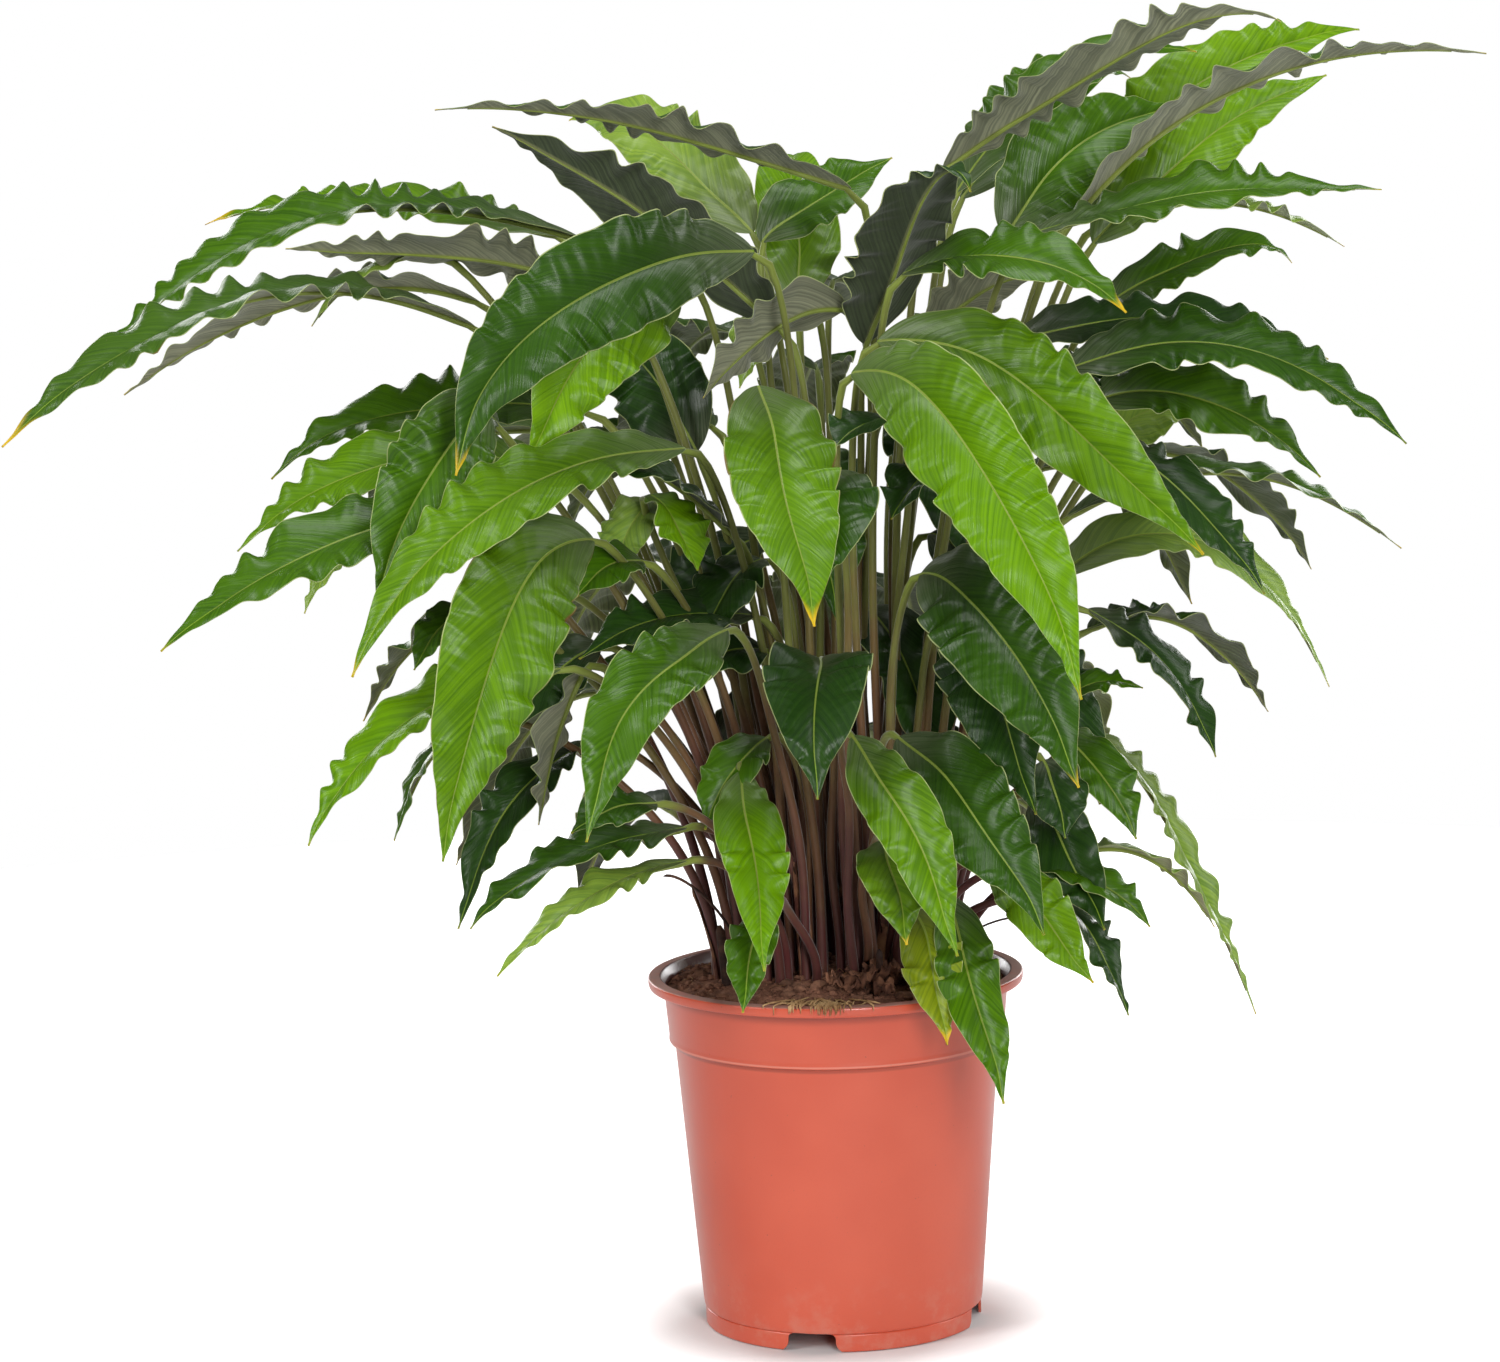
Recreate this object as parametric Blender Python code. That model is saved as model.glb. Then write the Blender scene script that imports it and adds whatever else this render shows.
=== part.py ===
"""A potted calathea: a nursery pot, its soil and the leaves, each grown with its own stalk.

Metres, +Z up, and -Y is the front. Everything is modelled about the pot's own axis, with the
pot standing on z = 0, and hangs from one empty that puts the origin under the plant's middle.
Each leaf is one closed body: a stalk that rises out of the crown, curls over and widens
into a folded blade. Every leaf is a row of one table, and one function grows them all.
"""

from collections import namedtuple
from math import cos, pi, radians, sin

import bpy
from mathutils import Vector

# Pot: a thin-walled plastic nursery pot with a flat flange, a taller band and a notched foot
POT_HEIGHT = 0.1985
RIM_RADIUS = 0.105
RIM_THICKNESS = 0.006
RIM_WIDTH = 0.007  # flat top of the flange
RIM_OVERHANG = 0.0085  # the flange stands out past the band by this much
BAND_HEIGHT = 0.030  # band under the flange
BAND_STEP = 0.003  # the wall steps in below the band
BODY_TAPER = 0.082  # radius lost for each metre of height
FOOT_HEIGHT = 0.0107
FOOT_INSET = 0.0008
WALL = 0.0015
FLOOR_THICKNESS = 0.0018
NOTCH_COUNT = 4
NOTCH_WIDTH = 0.027
NOTCH_FIRST = radians(-104.4)  # around +Z from +X
DRAIN_COUNT = 8
DRAIN_RADIUS = 0.0045
DRAIN_RING_SHARE = 0.62  # of the floor's radius
TURN_STEPS = 48

STAND = Vector((0.040, -0.020, 0))  # the pot's axis, with the origin under the middle of the plant

# Soil
SOIL_BELOW_RIM = 0.014
SOIL_MOUND = 0.012  # how far its middle stands above its edge
SOIL_RINGS = 4
GAP = 0.0003  # clearance between pieces that touch

# Crown and stalks
CROWN = Vector((0.010, 0.0))
CROWN_RADIUS = 0.062
CROWN_SPREAD = 0.7  # below 1 opens up the middle of the crown
CROWN_TOP = 0.45  # blades start up to about this far above the rim
LOW_SPREAD = 0.2  # the lower a blade, the further out its stalk stands, by up to this share
REACH = 0.20  # a blade that starts this far out has its stalk at the edge of the crown
FOOT_CLEARANCE = 0.0016  # stalks with less than this between them at the soil are pushed apart
FOOT_ROUNDS = 80
STALK_FOOT_RADIUS = 0.0028
STALK_TOP_RADIUS = 0.0019
STALK_RISE = 0.5  # share of its span that a stalk climbs before it leans over
STALK_RINGS = 7
KNEE = 0.030  # length over which the stalk curls into the blade

# Blades
WIDEST_AT = 0.40
FOLD = radians(16)  # each half blade stands this far above flat
BLADE_THICKNESS = 0.0014
RIB_HALF_WIDTH = 0.0012
TIP_RADIUS = 0.0006
BLADE_STATIONS = (0.05, 0.13, 0.26, 0.40, 0.54, 0.68, 0.82, 0.93)
SIDES = 5
MARGINS = (0, 3)  # places of the margins in a ring; the two sides of a blade are split alike from them

Leaf = namedtuple("Leaf", "group base tip rise lead width roll twist", defaults=(0, 0))

# base and tip are the ends of the blade, from the middle of the pot's rim. rise and lead place
# its bend: up, and along, as shares of the span. roll turns the upper side about the midrib,
# in degrees, and twist adds to it by the tip.
LEAVES = (
    Leaf("left", (-0.035, -0.050, 0.405), (-0.195, -0.130, 0.295), 0.45, 0.80, 0.066, 70),
    Leaf("left", (-0.075, 0.000, 0.390), (-0.160, -0.080, 0.295), 0.25, 0.65, 0.058, 60),
    Leaf("left", (-0.070, 0.040, 0.290), (-0.125, 0.080, 0.370), 0.10, 0.20, 0.060, 65),
    Leaf("left", (-0.075, -0.055, 0.300), (-0.250, -0.170, 0.195), 0.35, 0.75, 0.060, 45),
    Leaf("left", (-0.130, 0.030, 0.315), (-0.310, 0.050, 0.280), 0.25, 0.70, 0.055, 35),
    Leaf("left", (-0.145, -0.010, 0.280), (-0.320, -0.050, 0.250), 0.35, 0.50, 0.055, 30),
    Leaf("left", (-0.165, -0.045, 0.270), (-0.355, -0.120, 0.205), 0.20, 0.65, 0.055, 30),
    Leaf("left", (-0.175, -0.060, 0.315), (-0.240, -0.125, 0.230), 0.45, 0.25, 0.056, 50),
    Leaf("left", (-0.190, 0.010, 0.365), (-0.445, -0.050, 0.310), 0.35, 0.50, 0.060, -15, 40),
    Leaf("left", (-0.130, 0.050, 0.410), (-0.410, 0.060, 0.345), 0.35, 0.60, 0.058, -10, 35),
    Leaf("left", (-0.145, 0.110, 0.410), (-0.355, 0.170, 0.420), 0.15, 0.65, 0.048, 10),
    Leaf("left", (-0.115, 0.020, 0.380), (-0.295, 0.030, 0.410), 0.10, 0.30, 0.050, -30),
    Leaf("left", (-0.190, 0.075, 0.375), (-0.400, 0.120, 0.325), 0.25, 0.40, 0.050, -15),
    Leaf("top", (0.020, 0.030, 0.435), (-0.205, -0.040, 0.485), 0.10, 0.65, 0.055, -12),
    Leaf("top", (-0.020, -0.010, 0.360), (-0.175, -0.030, 0.475), 0.10, 0.65, 0.060, -40),
    Leaf("top", (-0.035, 0.080, 0.410), (-0.140, 0.160, 0.475), 0.25, 0.65, 0.058, 45),
    Leaf("top", (-0.010, 0.100, 0.365), (-0.010, 0.200, 0.450), 0.40, 0.50, 0.055, 0),
    Leaf("top", (0.025, 0.000, 0.350), (0.080, -0.095, 0.435), 0.45, 0.80, 0.062, 0),
    Leaf("top", (0.070, 0.005, 0.445), (0.250, -0.050, 0.520), 0.20, 0.80, 0.060, 20),
    Leaf("top", (0.080, 0.070, 0.430), (0.220, 0.105, 0.505), 0.35, 0.45, 0.052, -30),
    Leaf("top", (0.085, 0.115, 0.425), (0.190, 0.190, 0.490), 0.35, 0.65, 0.052, -40),
    Leaf("right", (0.045, -0.035, 0.390), (0.160, -0.110, 0.370), 0.30, 0.60, 0.052, -30),
    Leaf("right", (0.105, 0.035, 0.405), (0.205, 0.060, 0.475), 0.30, 0.40, 0.060, -65),
    Leaf("right", (0.140, 0.010, 0.415), (0.365, -0.020, 0.500), 0.30, 0.40, 0.058, 12),
    Leaf("right", (0.155, 0.050, 0.400), (0.290, 0.075, 0.490), 0.15, 0.40, 0.056, -50),
    Leaf("right", (0.145, 0.100, 0.415), (0.320, 0.160, 0.515), 0.25, 0.55, 0.055, -50),
    Leaf("right", (0.115, -0.040, 0.410), (0.300, -0.075, 0.430), 0.10, 0.45, 0.054, -25),
    Leaf("right", (0.100, -0.015, 0.350), (0.280, 0.000, 0.335), 0.20, 0.60, 0.054, -30),
    Leaf("right", (0.125, -0.055, 0.335), (0.310, -0.090, 0.295), 0.35, 0.60, 0.060, -35),
    Leaf("right", (0.145, -0.015, 0.315), (0.275, 0.000, 0.270), 0.35, 0.50, 0.056, -45),
    Leaf("right", (0.135, 0.015, 0.250), (0.325, 0.040, 0.225), 0.35, 0.50, 0.050, -8),
    Leaf("right", (0.150, -0.060, 0.300), (0.230, -0.120, 0.220), 0.20, 0.70, 0.046, -20),
    Leaf("right", (0.130, 0.060, 0.210), (0.295, 0.130, 0.135), 0.60, 0.60, 0.044, 4),
    Leaf("right", (0.145, 0.000, 0.200), (0.215, 0.000, 0.115), 0.35, 0.80, 0.042, -20, -20),
    Leaf("front", (0.030, -0.055, 0.355), (0.195, -0.150, 0.245), 0.25, 0.40, 0.065, -60),
    Leaf("front", (0.015, -0.080, 0.340), (0.125, -0.220, 0.180), 0.45, 0.55, 0.068, -55),
    Leaf("front", (0.050, -0.070, 0.230), (0.125, -0.190, 0.130), 0.30, 0.40, 0.066, -45),
    Leaf("front", (0.065, -0.045, 0.205), (0.105, -0.150, 0.110), 0.20, 0.55, 0.062, -40),
    Leaf("front", (0.035, -0.095, 0.145), (0.105, -0.200, 0.055), 0.20, 0.70, 0.060, -35),
    Leaf("front", (0.010, -0.120, 0.150), (0.060, -0.200, 0.045), 0.20, 0.65, 0.056, -35),
    Leaf("front", (-0.035, -0.085, 0.335), (-0.010, -0.210, 0.220), 0.15, 0.55, 0.064, 0),
    Leaf("front", (0.005, -0.100, 0.290), (-0.005, -0.170, 0.235), 0.20, 0.55, 0.056, 0),
    Leaf("front", (-0.005, -0.065, 0.185), (-0.010, -0.175, 0.125), 0.45, 0.75, 0.062, 0),
    Leaf("front", (-0.055, -0.090, 0.205), (-0.130, -0.200, 0.110), 0.40, 0.80, 0.058, 32),
    Leaf("front", (-0.125, -0.085, 0.255), (-0.205, -0.190, 0.100), 0.55, 0.65, 0.068, 55),
    Leaf("low", (0.060, -0.075, 0.055), (0.085, -0.150, -0.045), 0.10, 0.50, 0.044, -20),
    Leaf("low", (0.085, -0.075, 0.070), (0.135, -0.130, 0.015), 0.10, 0.35, 0.050, -45),
    Leaf("low", (0.110, -0.035, 0.100), (0.145, -0.085, 0.035), 0.15, 0.30, 0.050, -40),
    Leaf("low", (0.140, 0.035, 0.120), (0.240, 0.040, -0.040), 0.40, 0.35, 0.040, -15),
    Leaf("low", (-0.050, -0.070, 0.125), (-0.040, -0.175, 0.035), 0.10, 0.80, 0.054, 0),
    Leaf("low", (-0.145, -0.080, 0.185), (-0.280, -0.130, 0.100), 0.35, 0.80, 0.056, 20),
    Leaf("low", (-0.130, -0.015, 0.135), (-0.205, -0.085, 0.045), 0.40, 0.65, 0.044, 10),
    Leaf("low", (-0.080, -0.070, 0.095), (-0.195, -0.140, 0.055), 0.20, 0.80, 0.046, 10),
    Leaf("back", (-0.085, 0.100, 0.220), (-0.170, 0.240, 0.110), 0.40, 0.50, 0.062, 0),
    Leaf("back", (0.040, 0.110, 0.200), (0.070, 0.260, 0.090), 0.40, 0.50, 0.064, 0),
    Leaf("back", (-0.030, 0.085, 0.130), (-0.050, 0.215, 0.020), 0.30, 0.50, 0.056, 0),
    Leaf("back", (0.100, 0.085, 0.150), (0.170, 0.210, 0.070), 0.40, 0.50, 0.058, 0),
    Leaf("back", (-0.115, 0.065, 0.150), (-0.220, 0.150, 0.040), 0.40, 0.50, 0.054, 0),
)

UP = Vector((0, 0, 1))
RIM_MIDDLE = UP * POT_HEIGHT


def clear_scene():
    for old in list(bpy.data.objects):
        bpy.data.objects.remove(old)


def finish(name, colour, roughness, specular=0.5):
    material = bpy.data.materials.new(name)
    material.use_nodes = True
    shader = material.node_tree.nodes["Principled BSDF"]
    shader.inputs["Base Color"].default_value = (*colour, 1)
    shader.inputs["Roughness"].default_value = roughness
    shader.inputs["Specular IOR Level"].default_value = specular
    return material


def add_object(name, parent, material, points, faces, edges=()):
    mesh = bpy.data.meshes.new(name)
    mesh.from_pydata(points, edges, faces)
    mesh.materials.append(material)
    made = bpy.data.objects.new(name, mesh)
    made.parent = parent
    bpy.context.scene.collection.objects.link(made)
    return made


def turned(name, parent, material, outline):
    """An outline of (radius, height) points, spun about Z: a ring of them, or a run from axis to axis."""
    count = len(outline)
    edges = [(i, i + 1) for i in range(count - 1)]
    if outline[0][0] > 0:
        edges.append((count - 1, 0))
    points = [(radius, 0, height) for radius, height in outline]
    made = add_object(name, parent, material, points, [], edges)
    screw = made.modifiers.new("Turn", "SCREW")
    screw.steps = TURN_STEPS
    screw.render_steps = TURN_STEPS
    screw.use_merge_vertices = True
    screw.merge_threshold = 0.00005
    screw.use_normal_calculate = True
    screw.use_smooth_shade = True
    return made


# --- Pot ---------------------------------------------------------------------------------

BAND_TOP = POT_HEIGHT - RIM_THICKNESS
BAND_BOTTOM = BAND_TOP - BAND_HEIGHT
WALL_TOP = BAND_BOTTOM - BAND_STEP


def band_radius(height):
    """Outer radius of the band under the flange."""
    return RIM_RADIUS - RIM_OVERHANG - (BAND_TOP - height) * BODY_TAPER


def wall_radius(height):
    """Outer radius of the wall below the band."""
    return band_radius(height) - BAND_STEP


def inner_radius(height):
    """Inner radius of the pot, which soil has to stay inside."""
    return (band_radius(height) if height >= BAND_BOTTOM else wall_radius(height)) - WALL


FLOOR_TOP = FOOT_HEIGHT + FLOOR_THICKNESS


def pot_outline():
    foot = wall_radius(FOOT_HEIGHT) - FOOT_INSET
    return [
        (RIM_RADIUS, POT_HEIGHT),
        (RIM_RADIUS, BAND_TOP),
        (band_radius(BAND_TOP), BAND_TOP),
        (band_radius(BAND_BOTTOM), BAND_BOTTOM),
        (wall_radius(WALL_TOP), WALL_TOP),
        (wall_radius(FOOT_HEIGHT), FOOT_HEIGHT),
        (foot, FOOT_HEIGHT - FOOT_INSET),
        (foot, 0),
        (foot - WALL, 0),
        (foot - WALL, FOOT_HEIGHT),
        (0, FOOT_HEIGHT),
        (0, FLOOR_TOP),
        (inner_radius(FLOOR_TOP), FLOOR_TOP),
        (inner_radius(WALL_TOP), WALL_TOP),
        (inner_radius(BAND_BOTTOM), BAND_BOTTOM),
        (inner_radius(BAND_TOP), BAND_TOP),
        (RIM_RADIUS - RIM_WIDTH, POT_HEIGHT),
    ]


def cutter(name, target, points, faces):
    made = add_object(name, target, target.data.materials[0], points, faces)
    made.hide_render = True
    made.display_type = "WIRE"
    cut = target.modifiers.new(name, "BOOLEAN")
    cut.operation = "DIFFERENCE"
    cut.solver = "EXACT"
    cut.object = made
    return made


def prism(corners, bottom, top):
    """Points and faces of an upright prism over a ring of (x, y) corners, anticlockwise."""
    count = len(corners)
    points = [(x, y, bottom) for x, y in corners] + [(x, y, top) for x, y in corners]
    faces = [tuple(reversed(range(count))), tuple(range(count, 2 * count))]
    for i in range(count):
        j = (i + 1) % count
        faces.append((i, j, count + j, count + i))
    return points, faces


def make_pot(stand):
    plastic = finish("terracotta_plastic", (0.58, 0.16, 0.10), 0.38)
    pot = turned("pot", stand, plastic, pot_outline())
    foot = wall_radius(FOOT_HEIGHT)
    for i in range(NOTCH_COUNT):
        angle = NOTCH_FIRST + 2 * pi * i / NOTCH_COUNT
        ahead = Vector((cos(angle), sin(angle)))
        side = Vector((-ahead.y, ahead.x)) * (NOTCH_WIDTH / 2)
        near = ahead * (foot * 0.85)
        far = ahead * (foot * 1.15)
        corners = [near - side, far - side, far + side, near + side]
        cutter(f"notch_{i + 1}", pot, *prism(corners, -FOOT_HEIGHT, FOOT_HEIGHT - FOOT_INSET))
    ring = inner_radius(FLOOR_TOP) * DRAIN_RING_SHARE
    for i in range(DRAIN_COUNT):
        angle = NOTCH_FIRST + 2 * pi * (i + 0.5) / DRAIN_COUNT
        middle = Vector((cos(angle), sin(angle))) * ring
        corners = []
        for j in range(8):
            turn = 2 * pi * j / 8
            corners.append(middle + Vector((cos(turn), sin(turn))) * DRAIN_RADIUS)
        cutter(f"drain_{i + 1}", pot, *prism(corners, FOOT_HEIGHT / 2, FLOOR_TOP * 2))


# --- Soil --------------------------------------------------------------------------------

SOIL_EDGE = POT_HEIGHT - SOIL_BELOW_RIM


def soil_height(radius):
    """Height of the soil's surface at a distance from the pot's axis."""
    share = radius / (inner_radius(SOIL_EDGE) - GAP)
    return SOIL_EDGE + SOIL_MOUND * (1 - share * share)


def make_soil(stand):
    edge = inner_radius(SOIL_EDGE) - GAP
    radii = [edge * i / SOIL_RINGS for i in range(SOIL_RINGS + 1)]
    outline = [(radius, soil_height(radius)) for radius in radii]
    outline += [
        (inner_radius(BAND_BOTTOM) - GAP, BAND_BOTTOM),
        (inner_radius(WALL_TOP) - GAP, WALL_TOP),
        (inner_radius(FLOOR_TOP + GAP) - GAP, FLOOR_TOP + GAP),
        (0, FLOOR_TOP + GAP),
    ]
    turned("soil", stand, finish("dark_peat", (0.035, 0.022, 0.015), 0.95, 0.2), outline)


# --- Leaves ------------------------------------------------------------------------------


def bezier(ends, t):
    """Point at t on a curve of three or four control points."""
    points = list(ends)
    while len(points) > 1:
        points = [a.lerp(b, t) for a, b in zip(points, points[1:])]
    return points[0]


def even_run(ends, shares):
    """Points at shares of the curve's length, each with the curve's direction there."""
    fine = [bezier(ends, i / 64) for i in range(65)]
    lengths = [0.0]
    for a, b in zip(fine, fine[1:]):
        lengths.append(lengths[-1] + (b - a).length)
    found = []
    for share in shares:
        wanted = share * lengths[-1]
        i = min(max(sum(length < wanted for length in lengths) - 1, 0), 63)
        t = (wanted - lengths[i]) / (lengths[i + 1] - lengths[i])
        found.append((fine[i].lerp(fine[i + 1], t), (fine[i + 1] - fine[i]).normalized()))
    return found


def blade_share(t):
    """Width of the blade at t, from 0 at its base to 1 at its tip, as a share of its widest."""
    if t < WIDEST_AT:
        return (1 - (1 - t / WIDEST_AT) ** 2) ** 0.6
    return 1 - ((t - WIDEST_AT) / (1 - WIDEST_AT)) ** 1.8


def ease(t):
    t = min(max(t, 0), 1)
    return t * t * (3 - 2 * t)


def crown_feet():
    """Where each stalk stands: in the direction of its blade, and clear of the stalks beside it."""
    places = []
    for leaf in LEAVES:
        away = Vector(leaf.base).xy - CROWN
        lower = 1 + LOW_SPREAD * (1 - leaf.base[2] / CROWN_TOP)
        spread = CROWN_RADIUS * (away.length / REACH) ** CROWN_SPREAD * lower
        places.append(CROWN + away.normalized() * spread)
    spacing = 2 * STALK_FOOT_RADIUS + FOOT_CLEARANCE
    for _ in range(FOOT_ROUNDS):
        for i, first in enumerate(places):
            for second in places[i + 1 :]:
                apart = second - first
                if apart.length < spacing:
                    push = apart.normalized() * (spacing - apart.length) / 2
                    first -= push
                    second += push
    feet = []
    for place in places:
        highest = soil_height(place.length - STALK_FOOT_RADIUS)
        feet.append(Vector((*place, highest + GAP)))
    return feet


def section(middle, along, side, roll, shape):
    """One ring of points: shape gives each as (across, up) from the middle."""
    side = (side - along * side.dot(along)).normalized()
    up = side.cross(along)
    across = side * cos(roll) + up * sin(roll)
    up = up * cos(roll) - side * sin(roll)
    return [middle + across * x + up * y for x, y in shape]


def round_shape(radius):
    turns = [pi / 2 + 2 * pi * (i + 0.5) / SIDES for i in range(SIDES)]
    return [(radius * cos(turn), radius * sin(turn)) for turn in turns]


def blade_shape(half_width):
    """A folded blade's ring: left edge, underside beside the midrib, right edge, upper side."""
    edge_up = half_width * sin(FOLD)
    edge_out = half_width * cos(FOLD)
    return [
        (-edge_out, edge_up),
        (-RIB_HALF_WIDTH, -BLADE_THICKNESS / 2),
        (RIB_HALF_WIDTH, -BLADE_THICKNESS / 2),
        (edge_out, edge_up),
        (0, BLADE_THICKNESS / 2),
    ]


def leaf_rings(leaf, foot):
    base = RIM_MIDDLE + Vector(leaf.base)
    tip = RIM_MIDDLE + Vector(leaf.tip)
    span = tip - base
    bend = base + span * leaf.lead + UP * span.length * leaf.rise
    side = span.cross(UP).normalized()
    start = (bend - base).normalized()
    climb = foot + UP * (base - foot).length * STALK_RISE
    shares = [i / STALK_RINGS for i in range(STALK_RINGS + 1)]
    rings = []
    stalk = even_run([foot, climb, base - start * KNEE, base], shares)
    for share, (point, along) in zip(shares, stalk):
        radius = STALK_FOOT_RADIUS + (STALK_TOP_RADIUS - STALK_FOOT_RADIUS) * share
        roll = radians(leaf.roll) * ease(2 * share - 1)
        rings.append(section(point, along, side, roll, round_shape(radius)))
    blade = even_run([base, bend, tip], BLADE_STATIONS)
    for share, (point, along) in zip(BLADE_STATIONS, blade):
        roll = radians(leaf.roll + leaf.twist * share)
        shape = blade_shape(leaf.width / 2 * blade_share(share))
        rings.append(section(point, along, side, roll, shape))
    end, along = even_run([base, bend, tip], [1])[0]
    rings.append(section(end, along, side, radians(leaf.roll + leaf.twist), round_shape(TIP_RADIUS)))
    return rings


def make_leaf(name, stand, material, leaf, foot):
    rings = leaf_rings(leaf, foot)
    points = [point for ring in rings for point in ring]
    faces = [tuple(range(SIDES))]
    for i in range(len(rings) - 1):
        for j in range(SIDES):
            k = (j + 1) % SIDES
            low, high = i * SIDES, (i + 1) * SIDES
            if k in MARGINS:
                faces.append((low + j, high + j, low + k))
                faces.append((high + j, high + k, low + k))
            else:
                faces.append((low + j, high + j, high + k))
                faces.append((low + j, high + k, low + k))
    faces.append(tuple(reversed(range(len(points) - SIDES, len(points)))))
    add_object(name, stand, material, points, faces)


def make_leaves(stand):
    green = finish("leaf_green", (0.055, 0.16, 0.03), 0.35)
    counts = {}
    for leaf, foot in zip(LEAVES, crown_feet()):
        counts[leaf.group] = counts.get(leaf.group, 0) + 1
        name = f"{leaf.group}_leaf_{counts[leaf.group]:02d}"
        material = green.copy()
        material.name = name
        make_leaf(name, stand, material, leaf, foot)
    bpy.data.materials.remove(green)


def main():
    clear_scene()
    stand = bpy.data.objects.new("stand", None)
    stand.location = STAND
    bpy.context.scene.collection.objects.link(stand)
    make_pot(stand)
    make_soil(stand)
    make_leaves(stand)


main()
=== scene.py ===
from math import cos, pi, radians, sin

import bpy
import numpy as np
from mathutils import Matrix, Vector, noise


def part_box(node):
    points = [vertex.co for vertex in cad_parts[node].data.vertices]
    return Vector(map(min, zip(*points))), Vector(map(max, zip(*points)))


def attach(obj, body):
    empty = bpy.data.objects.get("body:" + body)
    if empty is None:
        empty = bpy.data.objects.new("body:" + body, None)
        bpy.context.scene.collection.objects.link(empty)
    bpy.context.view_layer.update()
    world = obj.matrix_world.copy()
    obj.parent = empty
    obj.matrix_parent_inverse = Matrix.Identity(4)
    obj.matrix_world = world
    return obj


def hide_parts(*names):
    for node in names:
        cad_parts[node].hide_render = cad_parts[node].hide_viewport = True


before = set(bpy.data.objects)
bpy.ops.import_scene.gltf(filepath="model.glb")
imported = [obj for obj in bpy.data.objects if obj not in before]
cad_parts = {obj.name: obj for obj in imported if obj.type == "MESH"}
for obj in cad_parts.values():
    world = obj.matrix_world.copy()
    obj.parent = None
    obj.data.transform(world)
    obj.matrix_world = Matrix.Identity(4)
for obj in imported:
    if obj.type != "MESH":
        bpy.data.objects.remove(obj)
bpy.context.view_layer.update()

print("frame loaded,", len(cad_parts), "solids")

potLow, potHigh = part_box("pot")
potAxis = (potLow + potHigh) / 2
potAxis.z = 0
rimMiddle = Vector((potAxis.x, potAxis.y, potHigh.z))
potHeight = potHigh.z
rimRadius = (potHigh.x - potLow.x) / 2


# small helpers for node trees and meshes

def tone(red, green, blue):
    # a colour as it looks on screen, turned into the linear values that shaders take
    values = [c / 255 for c in (red, green, blue)]
    linear = [c / 12.92 if c < 0.04 else ((c + 0.055) / 1.055) ** 2.4 for c in values]
    return (*linear, 1)


def newMaterial(name, roughness=0.5, specular=0.5, **sockets):
    material = bpy.data.materials.new(name)
    material.use_nodes = True
    shader = material.node_tree.nodes["Principled BSDF"]
    shader.inputs["Roughness"].default_value = roughness
    shader.inputs["Specular IOR Level"].default_value = specular
    for socket, value in sockets.items():
        shader.inputs[socket.replace("_", " ")].default_value = value
    return material, material.node_tree, shader


def plug(tree, target, value):
    if isinstance(value, bpy.types.NodeSocket):
        tree.links.new(value, target)
    else:
        target.default_value = value


def calc(tree, operation, first, second=0.0, third=0.0):
    node = tree.nodes.new("ShaderNodeMath")
    node.operation = operation
    for socket, value in zip(node.inputs, (first, second, third)):
        plug(tree, socket, value)
    return node.outputs[0]


def times(tree, first, second):
    return calc(tree, "MULTIPLY", first, second)


def plus(tree, first, second):
    return calc(tree, "ADD", first, second)


def minus(tree, first, second):
    return calc(tree, "SUBTRACT", first, second)


def vectorCalc(tree, operation, first, second):
    node = tree.nodes.new("ShaderNodeVectorMath")
    node.operation = operation
    plug(tree, node.inputs[0], first)
    plug(tree, node.inputs[1], second)
    return node.outputs


def ramp(tree, value, low, high, bottom=0.0, top=1.0):
    # goes smoothly from bottom to top as value goes from low to high
    node = tree.nodes.new("ShaderNodeMapRange")
    node.interpolation_type = "SMOOTHSTEP"
    for socket, setting in zip(node.inputs, (value, low, high, bottom, top)):
        plug(tree, socket, setting)
    return node.outputs[0]


def blendColour(tree, share, first, second, how="MIX"):
    node = tree.nodes.new("ShaderNodeMix")
    node.data_type = "RGBA"
    node.blend_type = how
    plug(tree, node.inputs[0], share)
    plug(tree, node.inputs[6], first)
    plug(tree, node.inputs[7], second)
    return node.outputs[2]


def tint(tree, colour, towards, value, low, high, most=1.0):
    # turns colour into towards, as far as most, while value goes from low to high
    return blendColour(tree, ramp(tree, value, low, high, 0.0, most), colour, towards)


def joinVector(tree, x, y, z=0.0):
    node = tree.nodes.new("ShaderNodeCombineXYZ")
    for socket, value in zip(node.inputs, (x, y, z)):
        plug(tree, socket, value)
    return node.outputs[0]


def grain(tree, vector, scale, detail=3.0, roughness=0.55):
    node = tree.nodes.new("ShaderNodeTexNoise")
    if vector is not None:
        tree.links.new(vector, node.inputs["Vector"])
    node.inputs["Scale"].default_value = scale
    node.inputs["Detail"].default_value = detail
    node.inputs["Roughness"].default_value = roughness
    return node.outputs["Fac"]


def readAttribute(tree, name):
    node = tree.nodes.new("ShaderNodeAttribute")
    node.attribute_name = name
    return node


def splitVector(tree, vector):
    node = tree.nodes.new("ShaderNodeSeparateXYZ")
    tree.links.new(vector, node.inputs[0])
    return node.outputs


def objectPlace(tree):
    return tree.nodes.new("ShaderNodeTexCoord").outputs["Object"]


def addBump(tree, shader, height, strength, distance):
    node = tree.nodes.new("ShaderNodeBump")
    node.inputs["Strength"].default_value = strength
    node.inputs["Distance"].default_value = distance
    tree.links.new(height, node.inputs["Height"])
    tree.links.new(node.outputs[0], shader.inputs["Normal"])


def finishShader(tree, shader, colour, height, strength, distance, rough=None):
    tree.links.new(colour, shader.inputs["Base Color"])
    if rough is not None:
        tree.links.new(rough, shader.inputs["Roughness"])
    addBump(tree, shader, height, strength, distance)


def addObject(name, data):
    made = bpy.data.objects.new(name, data)
    bpy.context.scene.collection.objects.link(made)
    return made


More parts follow.
